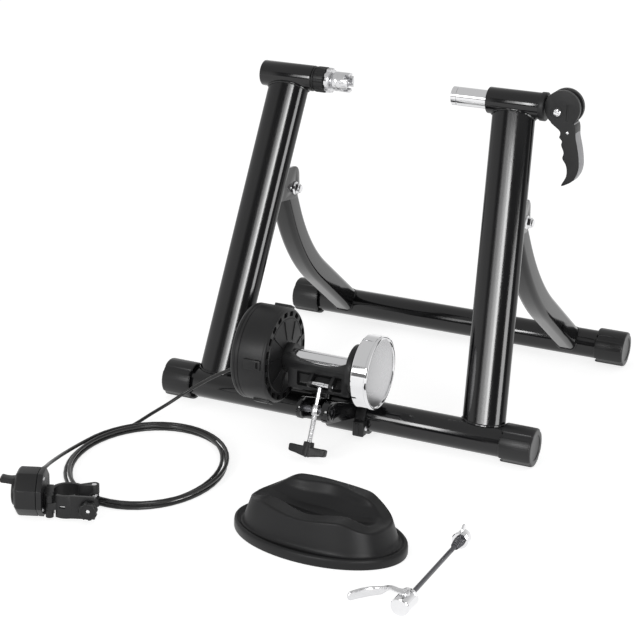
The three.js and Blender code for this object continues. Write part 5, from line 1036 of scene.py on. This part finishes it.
def makeTension(s):
    half, r = s["half"], s["cross"]
    cross = lathe("crossPinRod", [(-half, 0), (-half, 2.0), (-half + 0.5, 2.5), (-5.4, 2.5), (-5, r), (5, r),
                                  (5.4, 2.5), (half - 0.5, 2.5), (half, 2.0), (half, 0)], sides=40)
    settle(cross, "bolt", "unit", "chrome", "tension_cross_pin")
    r, top, end, thread = s["rodRadius"], s["rodTop"], s["rodEnd"], s["threadFrom"]
    screw = threaded("tensionScrew", "z", r, s["pitch"], s["threadDeep"], thread, end + 0.8)
    add(screw, lathe("plainShank", [(top, 0), (top, r - 0.4), (top - 0.4, r), (thread - 0.4, r),
                                    (thread - 0.8, r - 0.5), (thread - 0.8, 0)], "z", sides=40),
        lathe("screwTip", [(end + 1.4, 0), (end + 1.4, r - 0.6), (end, r - 1.5), (end, 0)], "z", sides=40))
    settle(screw, "bolt", "rod", "chrome", "tension_rod")
    at = s["nut"]
    nut = lathe("trunnionBarrel", [
        (at - 6.4, 0), (at - 6.4, 4.2), (at - 5.6, 4.8), (at - 2.4, 5.7), (at, 5.9), (at + 2.4, 5.7),
        (at + 5.6, 4.8), (at + 6.4, 4.2), (at + 6.4, 0)], "z", sides=48)
    cut(nut, rod("screwRoom", "z", 0, 0, r + 0.1, at - 12, at + 12))
    settle(nut, "bolt", "trunnion", "satin", "trunnion_nut")
    a, b, pin = s["pinLeft"], s["pinRight"], s["pin"]
    pins = lathe("trunnionPins", [(a, 0), (a, pin - 0.5), (a + 0.5, pin), (-9, pin), (-8, 3.4), (8, 3.4),
                                  (9, pin), (b - 0.5, pin), (b, pin - 0.5), (b, 0)], "x", 0, at, 40)
    cut(pins, rod("barrelRoom", "z", 0, 0, 5.2, at - 12, at + 12))
    settle(pins, "bolt", "trunnion", "oiled")


def makeWingKnob(s):
    top, low, w, t, hub, neck = s["wingTop"], s["wingLow"], s["span"], s["thick"], s["hub"], s["knobTop"]
    foot = neck - s["hubLong"]
    outline = smoothPlane([
        (-w, top - 1.4), (-w * 0.6, top - 1.0), (-hub, top - 1.0), (hub, top - 1.0), (w * 0.6, top - 1.0),
        (w, top - 1.4), (w + 0.4, top - 5.2), (w - 0.3, top - 9.0), (w * 0.6, top - 10.8), (hub, low + 0.9),
        (0, low), (-hub, low + 0.9), (-w * 0.6, top - 10.8), (-w + 0.3, top - 9.0), (-w - 0.4, top - 5.2)], 6)
    knob = prism("wingKnobBody", "y", outline, -t, t)
    # the wings get thinner towards their ends
    for corner in knob.data.vertices:
        corner.co.y *= 1 - 0.22 * min(1, abs(corner.co.x) / w) ** 2
    soften(knob, 1.3, 3, 50)
    add(knob, lathe("knobHub", [(neck, 0), (neck, hub - 0.9), (neck - 0.6, hub - 0.2), (neck - 1.6, hub),
                                (foot, hub + 0.5), (foot - 3, hub + 0.5), (foot - 3, 0)], "z", sides=16))
    cut(knob, rod("screwRoom", "z", 0, 0, s["rodRadius"] + 0.1, low - 5, neck + 5))
    settle(knob, "bolt", "wing_knob", "moulded", "tension_knob", smooth=30)


makeTension(tensionSettings)
makeWingKnob(tensionSettings)
print("stage: tension bolt made")

# Remote: eight-sided case with its lever, clamp and swinging bolt
remoteSettings = {"start": -55.5, "end": -31, "plate": (-30.7, -24.8), "radius": 25, "height": 25, "edge": 3,
                  "wall": 3, "boss": (-42, 34), "bossFrom": 17, "bossEnd": 26, "bossRadius": 4.6,
                  "screws": (115, 220), "screwRing": 21.2, "screw": 2.4, "hub": 16, "hubFrom": -59.8,
                  "hubTo": -55.8, "tabEnd": -73.8, "tabHalf": 6, "tabHeight": 38, "tabThick": 2.5, "axle": 3}


def octagon(radius, height):
    corner = radius / math.cos(math.radians(22.5))
    return [(corner * math.cos(math.radians(45 * i + 22.5)),
             height + corner * math.sin(math.radians(45 * i + 22.5))) for i in range(8)]


def makeRemote(s):
    a, r, edge, high, (start, end) = s["start"], s["radius"], s["edge"], s["height"], s["plate"]
    case = loft("remoteCaseBody", [[(x, *p) for p in octagon(radius, high)]
                                   for x, radius in ((a, r - edge), (a + edge, r), (s["end"], r))])
    soften(case, 1.1, 3, 20)
    room = prism("caseRoom", "x", octagon(r - s["wall"], high), a + s["wall"], s["end"] + 1)
    low, top, radius = s["bossFrom"], s["bossEnd"], s["bossRadius"]
    boss = lathe("cableBoss", [(low, 0), (low, radius + 1.6), (low + 6.4, radius + 1), (low + 7.6, radius),
                               (top - 0.6, radius), (top, radius - 0.6), (top, 0)], "y", *s["boss"], 40)
    cut(add(case, boss), room, rod("axleRoom", "x", 0, high, s["axle"] + 0.2, -70, 0))
    settle(case, "remote", "stand", "moulded", "remote_case", smooth=28)
    back = prism("remoteBackPlate", "x", octagon(r, high), start, end)
    settle(soften(back, 0.8, 2, 20), "remote", "stand", "moulded", "remote_back", smooth=28)
    for k, angle in enumerate(map(math.radians, s["screws"])):
        y, z = s["screwRing"] * math.cos(angle), high + s["screwRing"] * math.sin(angle)
        screw = lathe(f"caseScrew{k + 1}", [(end - 2, 0), (end - 2, s["screw"]), (end + 0.5, s["screw"]),
                                            (end + 1.2, s["screw"] * 0.72), (end + 1.4, 0)], "x", y, z, 32)
        settle(crossCut(screw, (end + 0.6, -1.5, -0.3), (end + 3, 1.5, 0.3), 15, "X", (0, y, z)),
               "remote", "stand", "satin")


def makeShiftLever(s):
    a, b, r, axle, end = s["hubFrom"], s["hubTo"], s["hub"], s["axle"], s["plate"][0] + 1
    lever = lathe("shiftLeverBody", [
        (a - 0.8, 0), (a - 0.8, 6.5), (a, 7.5), (a, r - 1.4), (a + 0.5, r - 0.4), (a + 1.4, r), (b - 0.5, r),
        (b, r - 0.5), (b, axle), (end, axle), (end, 0)], "x", 0, s["height"], 96)
    t, h = s["tabThick"], s["tabHeight"]
    tab = prism("leverTab", "y",
                smoothPlane([(b - 0.4, h - t - 1.4), (b - 0.4, h + t), (a - 3, h + t), (a - 8, h + t + 0.5),
                             (s["tabEnd"] + 1.5, h + t + 1.2), (s["tabEnd"], h + 1.2),
                             (s["tabEnd"] + 1.2, h - t + 0.6), (a - 7, h - t - 0.2), (a - 2.5, h - t - 0.9)],
                            5), -s["tabHalf"], s["tabHalf"])
    add(lever, soften(tab, 1.0, 3, 50))
    settle(lever, "remote", "remote_lever", "moulded", "shift_lever", smooth=30)


clampSettings = {"bolt": (26, 17), "barrel": 3.2, "barrelFrom": 3.4, "barrelTo": 28.8, "height": 16,
                 "shank": 2.2, "tip": -27, "nutFace": -19.4, "nutLong": 9, "nutRadius": 10.5, "bore": 2.5,
                 "lobes": (8, 1.1, 0, 0.3, 0.2, 0.08)}


def makeClampBolt(s):
    (x, y), a, b, r = s["bolt"], s["barrelFrom"], s["barrelTo"], s["barrel"]
    eye = lathe("boltEye", [(a, 0), (a, r - 0.5), (a + 0.5, r), (b - 0.5, r), (b, r - 0.5), (b, 0)], "z", x,
                y, 40)
    shank = threaded("boltShank", "y", s["shank"], 1.0, 0.3, s["tip"] + 0.6, y - 2, x, s["height"])
    settle(add(eye, shank), "remote", "remote_bolt", "chrome", "clamp_bolt")
    face, end, r = s["nutFace"], s["nutFace"] - s["nutLong"], s["nutRadius"]
    nut = lobedLathe("thumbNutBody", [
        (face, s["bore"], 0), (face, 6.6, 0), (face - 0.6, 7.2, 0), (face - 1.6, 7.6, 0),
        (face - 2.0, r - 1.2, 1), (face - 2.5, r - 0.3, 1), (face - 3.2, r, 1), (end + 1.4, r, 1),
        (end + 0.5, r - 0.3, 1), (end, r - 1.3, 1), (end, 7.4, 0), (end + 0.5, 6.9, 0),
        (end + 0.5, s["bore"], 0), (face, s["bore"], 0)], s["lobes"], "y", x, s["height"], 160)
    settle(nut, "remote", "remote_nut", "moulded", "thumb_nut", smooth=30)


makeRemote(remoteSettings)
makeShiftLever(remoteSettings)
makeClampBolt(clampSettings)
settle(refined("clamp_base", 0.7), None, "stand", "moulded", "clamp_base", smooth=28)
settle(refined("clamp_arm", 0.7), None, "remote_arm", "moulded", "clamp_arm", smooth=28)
print("stage: remote made")

# Wheel block: one thin moulded shell, with a groove and wavy ridges
blockSettings = {"flange": (101, 64), "body": (88, 51), "top": (74, 43), "foot": 12, "height": 52,
                 "floor": 28, "wall": 3.6, "halfWidth": 23, "wave": 4, "deep": 24, "wheel": 340, "sides": 192,
                 "power": 2.5, "blend": 12, "soft": 1.6, "roll": 1.8, "steps": 16, "topSteps": 46}
# share of the body's half length, and height
frontRidge = [(-1.1, 34), (-0.85, 40), (-0.6, 45), (-0.05, 40), (0.48, 44), (0.85, 34), (1.1, 31)]
farRidge = [(-1.1, 32), (-0.88, 36), (-0.5, 51), (0.42, 49.5), (0.88, 33), (1.1, 31)]
# share of the groove's half width, and of its depth
grooveWall = [(0, 0), (0.55, 0.08), (1, 0.45), (1.25, 1.05), (3, 8)]


def between(value, table, soft):
    for (a, low), (b, high) in zip(table, table[1:]):
        if a <= value <= b:
            share = (value - a) / (b - a)
            return low + (high - low) * (eased(share) if soft else share)


def blockHeight(x, y, s):
    blend = min(1, max(0, (y + s["blend"] / 2) / s["blend"]))
    share = max(-1.09, min(1.09, x / s["body"][0]))
    ridge = between(share, frontRidge, True) * (1 - blend) + between(share, farRidge, True) * blend
    half = s["halfWidth"] + s["wave"] * math.cos(2 * math.pi * x / s["body"][0])
    floor = s["floor"] + s["wheel"] - math.sqrt(s["wheel"] ** 2 - x * x)
    wall = floor + s["deep"] * between(abs(y) / half, grooveWall, False)
    # the lesser of the two, with a soft change from wall to ridge
    h = max(0, min(1, 0.5 + (ridge - wall) / (2 * s["soft"])))
    return ridge + (wall - ridge) * h - s["soft"] * h * (1 - h)


def makeBlock(s):
    (fl, fw), (bl, bw), (tl, tw) = s["flange"], s["body"], s["top"]
    foot, n, power = s["foot"], s["sides"], s["power"]
    # half length, half width, height and power of the flange's ovals
    rows = [(fl - 0.6, fw - 0.6, 0.15, 2), (fl, fw, 0.8, 2), (fl, fw, foot - 4.2, 2)]
    for a in (0.5, 1.0, 1.3, 1.57):
        inset = 3 * (1 - math.cos(a)) + 0.6 * (a > 1)
        rows.append((fl - inset, fw - inset, foot - 3.6 + 3.6 * math.sin(a), 2))
    rows += [(fl - 6.2, fw - 6.2, foot - 1.0, 2.1), (fl - 8.4, fw - 8.4, foot - 1.9, 2.2),
             (bl + 1.7, bw + 1.7, foot - 1.6, 2.4), (bl + 0.4, bw + 0.4, foot - 0.2, power)]
    rings = [[(x, y, z) for x, y in oval(wide, deep, bulge, n)] for wide, deep, z, bulge in rows]
    brim = [blockHeight(x, y, s) - s["roll"] for x, y in oval(tl, tw, power, n)]
    for k in range(1, s["steps"] + 1):
        ring = []
        for (x, y), top in zip(oval(1, 1, power, n), brim):
            z = foot + (top - foot) * k / s["steps"]
            slope = (z - foot) / (s["height"] - foot)
            ring.append((x * (bl + (tl - bl) * slope), y * (bw + (tw - bw) * slope), z))
        rings.append(ring)
    last = rings[-1]
    for inset, fall in ((0.25, 1.0), (0.9, 0.35), (2.0, 0)):
        ring = []
        for x, y, z in last:
            share = (math.hypot(x, y) - inset) / math.hypot(x, y)
            top = min(z + s["roll"], blockHeight(x * share, y * share, s))
            ring.append((x * share, y * share, top - fall))
        rings.append(ring)
    rim = rings[-1]
    for k in range(1, s["topSteps"] + 1):
        share = 1 - k / s["topSteps"]
        rings.append([(x * share, y * share, blockHeight(x * share, y * share, s)) for x, y, z in rim])
    block = loft("wheelBlockShell", rings, closed=False)
    bpy.ops.object.mode_set(mode="EDIT")
    bpy.ops.mesh.select_all(action="SELECT")
    bpy.ops.mesh.vertices_smooth(factor=0.4, repeat=1)
    bpy.ops.mesh.normals_make_consistent(inside=False)
    bpy.ops.object.mode_set(mode="OBJECT")
    shell = block.modifiers.new("wall", "SOLIDIFY")
    shell.thickness = s["wall"]
    shell.offset = -1
    applied(block, shell)
    settle(block, "block", "block", "blockPlastic", "wheel_block", smooth=50)


makeBlock(blockSettings)
print("stage: wheel block made")

# Quick-release skewer
skewerSettings = {"rod": 2.5, "rodFrom": -388, "rodTo": -233, "threadFrom": -276, "body": 10,
                  "bodyFrom": -412, "bodyTo": -385, "pivot": -399, "barrel": 4, "barrelHalf": 6.5,
                  "bore": 4.3, "hub": 5.6, "seat": 8.9, "hubTop": 12.8, "leverTip": 4.4, "leverSides": 28,
                  "nutFrom": -246, "nutTo": -230, "nut": 8.2, "wing": 15, "wingHalf": 1.2,
                  "springFrom": -261.4, "springTo": -247, "springSmall": 3.6, "springLarge": 5.3,
                  "wire": 0.62, "turns": 5, "turnSteps": 28, "leverSteps": 8}
# across, along, height, half height, half thickness
skewerLeverLine = [(0, 0, 11.2, 1.5, 4.4), (-8, 0.4, 11.3, 1.6, 4.0), (-15, 2.6, 11.0, 2.0, 3.2),
                   (-20.5, 5.6, 7.8, 3.2, 2.3), (-27, 7.2, 3.2, 4.6, 1.9), (-36, 5.6, 0.9, 5.3, 1.8),
                   (-45, -1.6, 0, 5.6, 1.7), (-52, -12.0, 0, 5.4, 1.6)]


def makeSkewer(s):
    r, start, thread = s["rod"], s["rodFrom"], s["threadFrom"]
    screw = threaded("skewerRod", "y", r, 1.0, 0.34, thread, s["rodTo"] - 0.4, plain=1.0)
    add(screw, lathe("rodShank", [(start, 0), (start, r), (thread + 0.4, r), (thread + 1, r - 0.4),
                                  (thread + 1, 0)], "y", sides=40))
    settle(screw, "skewer", "skewer", "oiled", "skewer_rod")
    a, b, r = s["bodyFrom"], s["bodyTo"], s["body"]
    body = lathe("skewerHead", [
        (a, 0), (a, r - 2.0), (a + 0.5, r - 0.9), (a + 1.6, r), (b - 5.5, r), (b - 5.0, r - 0.7),
        (b - 4.2, r - 0.7), (b - 3.7, r), (b - 1.2, r), (b - 0.4, r - 0.5), (b, r - 1.4), (b, 0)], "y",
        sides=96)
    cut(body, rod("rodRoom", "y", 0, 0, s["rod"] + 0.2, s["rodFrom"] - 0.3, b + 1),
        rod("camRoom", "z", 0, s["pivot"], s["bore"], -7, 12),
        box("hubSeat", (-r - 1, s["pivot"] - s["hub"] - 0.6, s["seat"]),
            (r + 1, s["pivot"] + s["hub"] + 0.6, r + 2)))
    settle(soften(body, 0.5, 2, 45), "skewer", "skewer", "chrome", "skewer_cam_body")


def makeSkewerLever(s):
    line = [(Vector((x, s["pivot"] + y, z)), Vector((tall, thick, 0)))
            for x, y, z, tall, thick in skewerLeverLine]
    points, sizes = [p for p, size in line], [size for p, size in line]
    end, tall, thick = points[-1], *skewerLeverLine[-1][3:]
    n = s["leverSteps"]
    points = smoothThrough([points[0] * 2 - points[1], *points, points[-1] * 2 - points[-2]], n) + [end]
    sizes = [a.lerp(b, k / n) for a, b in zip(sizes, sizes[1:]) for k in range(n)] + [sizes[-1]]
    # the end is rounded off
    ahead = (points[-1] - points[-2]).normalized()
    for share in (0.4, 0.68, 0.88, 0.97, 1.0):
        fall = max(0.06, math.sqrt(1 - share * share))
        points.append(end + ahead * (s["leverTip"] * share))
        sizes.append(Vector((tall * fall, thick * (0.5 + 0.5 * fall), 0)))
    rings = []
    for k, (p, size) in enumerate(zip(points, sizes)):
        way = points[min(k + 1, len(points) - 1)] - points[max(k - 1, 0)]
        aside = Vector((-way.y, way.x, 0)).normalized()
        rings.append([p + aside * (size.y * c) + Vector((0, 0, size.x * math.copysign(abs(d) ** 0.7, d)))
                      for c, d in disc(0, 0, 1, s["leverSides"])])
    lever = loft("skewerLeverForged", rings)
    top, low, seat, r, hub = s["hubTop"], -s["barrelHalf"], s["seat"] + 0.2, s["barrel"], s["hub"]
    add(lever, lathe("camShaft", [(low, 0), (low, r - 0.4), (low + 0.4, r), (seat, r), (seat, hub),
                                  (top - 1.2, hub), (top - 0.3, hub - 0.6), (top, hub - 1.6), (top, 0)], "z",
                     0, s["pivot"], 48))
    settle(lever, "skewer", "skewer_handle", "satin", "skewer_lever", smooth=45)


def makeSkewerNut(s):
    a, b, r = s["nutFrom"], s["nutTo"], s["nut"]
    nut = lathe("skewerNutBody", [
        (a, 0), (a, r + 0.2), (a + 0.6, r + 1), (a + 2.4, r + 1), (a + 3, r + 0.3), (a + 3.4, r - 0.8),
        (a + 4.6, r - 0.8), (a + 5.2, r), (b - 2.4, r), (b - 0.8, r - 0.7), (b, r - 2.2), (b, 0)], "y",
        sides=72)
    wing = prism("nutWing", "x",
                 smoothPlane([(a + 4, 2), (b - 1, 2), (b - 1.2, 8), (b - 2.6, s["wing"] - 1.2),
                              (b - 5.4, s["wing"]), (b - 8.6, s["wing"] - 1.4), (a + 4.4, 8)], 5),
                 -s["wingHalf"], s["wingHalf"])
    add(nut, soften(wing, 0.5, 2, 50))
    cut(nut, lathe("springSeat", [(a - 1, 0), (a - 1, 6.2), (a + 1.4, 5.4), (a + 1.4, 0)], "y", sides=48),
        rod("rodRoom", "y", 0, 0, s["rod"] + 0.15, a - 1, s["rodTo"] + 0.3))
    settle(nut, "skewer", "skewer_end", "chrome", "skewer_nut", smooth=30)
    line, steps = [], s["turns"] * s["turnSteps"]
    for k in range(steps + 1):
        share = k / steps
        radius = s["springSmall"] + (s["springLarge"] - s["springSmall"]) * share
        angle = 2 * math.pi * s["turns"] * share
        line.append(Vector((radius * math.cos(angle),
                            s["springFrom"] + (s["springTo"] - s["springFrom"]) * share,
                            radius * math.sin(angle))))
    settle(tubeAlong("conicalSpring", line, s["wire"]), "skewer", "skewer", "oiled", "skewer_spring",
           smooth=60)


makeSkewer(skewerSettings)
makeSkewerLever(skewerSettings)
makeSkewerNut(skewerSettings)
print("stage: skewer made")

# Solids that stay as they are get their material
plainLooks = {"left_bearing": "satin", "right_bearing": "satin", "rotor_disc": "aluminium",
              "magnet_carrier": "moulded", "magnet_ring": "magnet"}
for name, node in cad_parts.items():
    if not node.hide_render:
        node.data.materials.clear()
        node.data.materials.append(looks[plainLooks.get(name, "moulded")])
        print("plain solid kept:", name)

# White surround that the camera and the reflections see, and a pale floor that keeps the shadow
stageSettings = {"floor": 24.0, "floorZ": -0.0004, "floorRough": 0.95, "tone": 0.5, "glow": 0.76,
                 "bounce": 0.8, "worldLight": 0.5, "ceiling": (0.05, 0.5, 1.0, 0.65), "clothDark": 0.8,
                 "cloth": {"X": (-0.56, -0.46, 0, 1), "Y": (-0.25, 0, 1, 0), "Z": (0.42, 0.52, 1, 0)}}
# the tall soft light in front stands far off and brightens from left to right in three strips
lampSettings = [
    # name, place, aim, size, power
    ("frontLampDim", (-2.55, -7.1, 2.7), (0, 0, 0.1), (0.74, 2.4), 22),
    ("frontLampHalf", (-1.82, -7.3, 2.7), (0, 0, 0.1), (0.74, 2.4), 54),
    ("frontLamp", (-1.1, -7.4, 2.7), (0, 0, 0.1), (0.74, 2.4), 112),
    ("sideLamp", (2.5, -3.0, 1.0), (0, 0, 0.2), (1.5, 1.6), 62),
]


def combined(tree, operation, first, second):
    node = addNode(tree, "Math", links={0: first, 1: second})
    node.operation = operation
    return node.outputs[0]


def softStep(tree, value, limits):
    step = addNode(tree, "MapRange", zip(("From Min", "From Max", "To Min", "To Max"), limits),
                   {"Value": value})
    step.interpolation_type = "SMOOTHSTEP"
    return step.outputs["Result"]


def seenRay(tree, *kinds):
    # 1 for each of these kinds of ray, else 0
    path = addNode(tree, "LightPath")
    total = path.outputs[kinds[0]]
    for kind in kinds[1:]:
        total = combined(tree, "MAXIMUM", total, path.outputs[kind])
    return total


def makeWorld(s):
    world = bpy.data.worlds.new("studio")
    bpy.context.scene.world = world
    world.use_nodes = True
    tree = world.node_tree
    background = tree.nodes["Background"]
    background.inputs["Color"].default_value = (1, 1, 1, 1)
    # white walls all round, and a greyer ceiling for what the metal mirrors
    way = addNode(tree, "TexCoord").outputs["Generated"]
    split = addNode(tree, "SeparateXYZ", links={"Vector": way})
    ceiling = softStep(tree, split.outputs["Z"], s["ceiling"])
    # a dark cloth in front, which the gloss of the paint shows as its black
    right, front, top = [softStep(tree, split.outputs[axis], s["cloth"][axis]) for axis in "XYZ"]
    cloth = combined(tree, "MULTIPLY", combined(tree, "MULTIPLY", right, front), top)
    room = addNode(tree, "MapRange", {"To Min": 1.0, "To Max": 1 - s["clothDark"]}, {"Value": cloth})
    walls = combined(tree, "MULTIPLY", ceiling, room.outputs["Result"])
    mirrored = addNode(tree, "Mix", {"A": s["worldLight"]},
                       {"Factor": seenRay(tree, "Is Glossy Ray", "Is Transmission Ray"), "B": walls})
    seen = addNode(tree, "Mix", {"B": 1.0},
                   {"Factor": seenRay(tree, "Is Camera Ray"), "A": mirrored.outputs["Result"]})
    tree.links.new(seen.outputs["Result"], background.inputs["Strength"])


def makeFloor(s):
    deselect()
    bpy.ops.mesh.primitive_plane_add(size=s["floor"], location=(0, 0, s["floorZ"]))
    floor = bpy.context.object
    floor.name = "studioFloor"
    material = bpy.data.materials.new("paleFloor")
    material.use_nodes = True
    tree = material.node_tree
    plain = tree.nodes["Principled BSDF"]
    plain.inputs["Base Color"].default_value = (*[s["bounce"]] * 3, 1)
    plain.inputs["Roughness"].default_value = s["floorRough"]
    # what is seen: a glow that is almost white, and a dim matt floor on it that takes the shadow
    matt = addNode(tree, "BsdfDiffuse", {"Color": (*[s["tone"]] * 3, 1)})
    glow = addNode(tree, "Emission", {"Strength": s["glow"]})
    both = addNode(tree, "AddShader", links={0: matt.outputs["BSDF"], 1: glow.outputs["Emission"]})
    ray = seenRay(tree, "Is Camera Ray", "Is Glossy Ray", "Is Transmission Ray")
    mix = addNode(tree, "MixShader", links={"Fac": ray, 1: plain.outputs["BSDF"], 2: both.outputs["Shader"]})
    tree.links.new(mix.outputs["Shader"], tree.nodes["Material Output"].inputs["Surface"])
    floor.data.materials.append(material)


def makeLamp(name, place, aim, size, power):
    bpy.ops.object.light_add(type="AREA", location=place)
    lamp = bpy.context.object
    lamp.name = name
    lamp.data.shape = "RECTANGLE"
    lamp.data.size, lamp.data.size_y = size
    lamp.data.energy = power
    lamp.visible_camera = False
    lamp.rotation_euler = (Vector(aim) - Vector(place)).to_track_quat("-Z", "Y").to_euler()


makeWorld(stageSettings)
makeFloor(stageSettings)
for settings in lampSettings:
    makeLamp(*settings)
bpy.context.scene.view_settings.view_transform = "Standard"
print("stage: light and floor set")
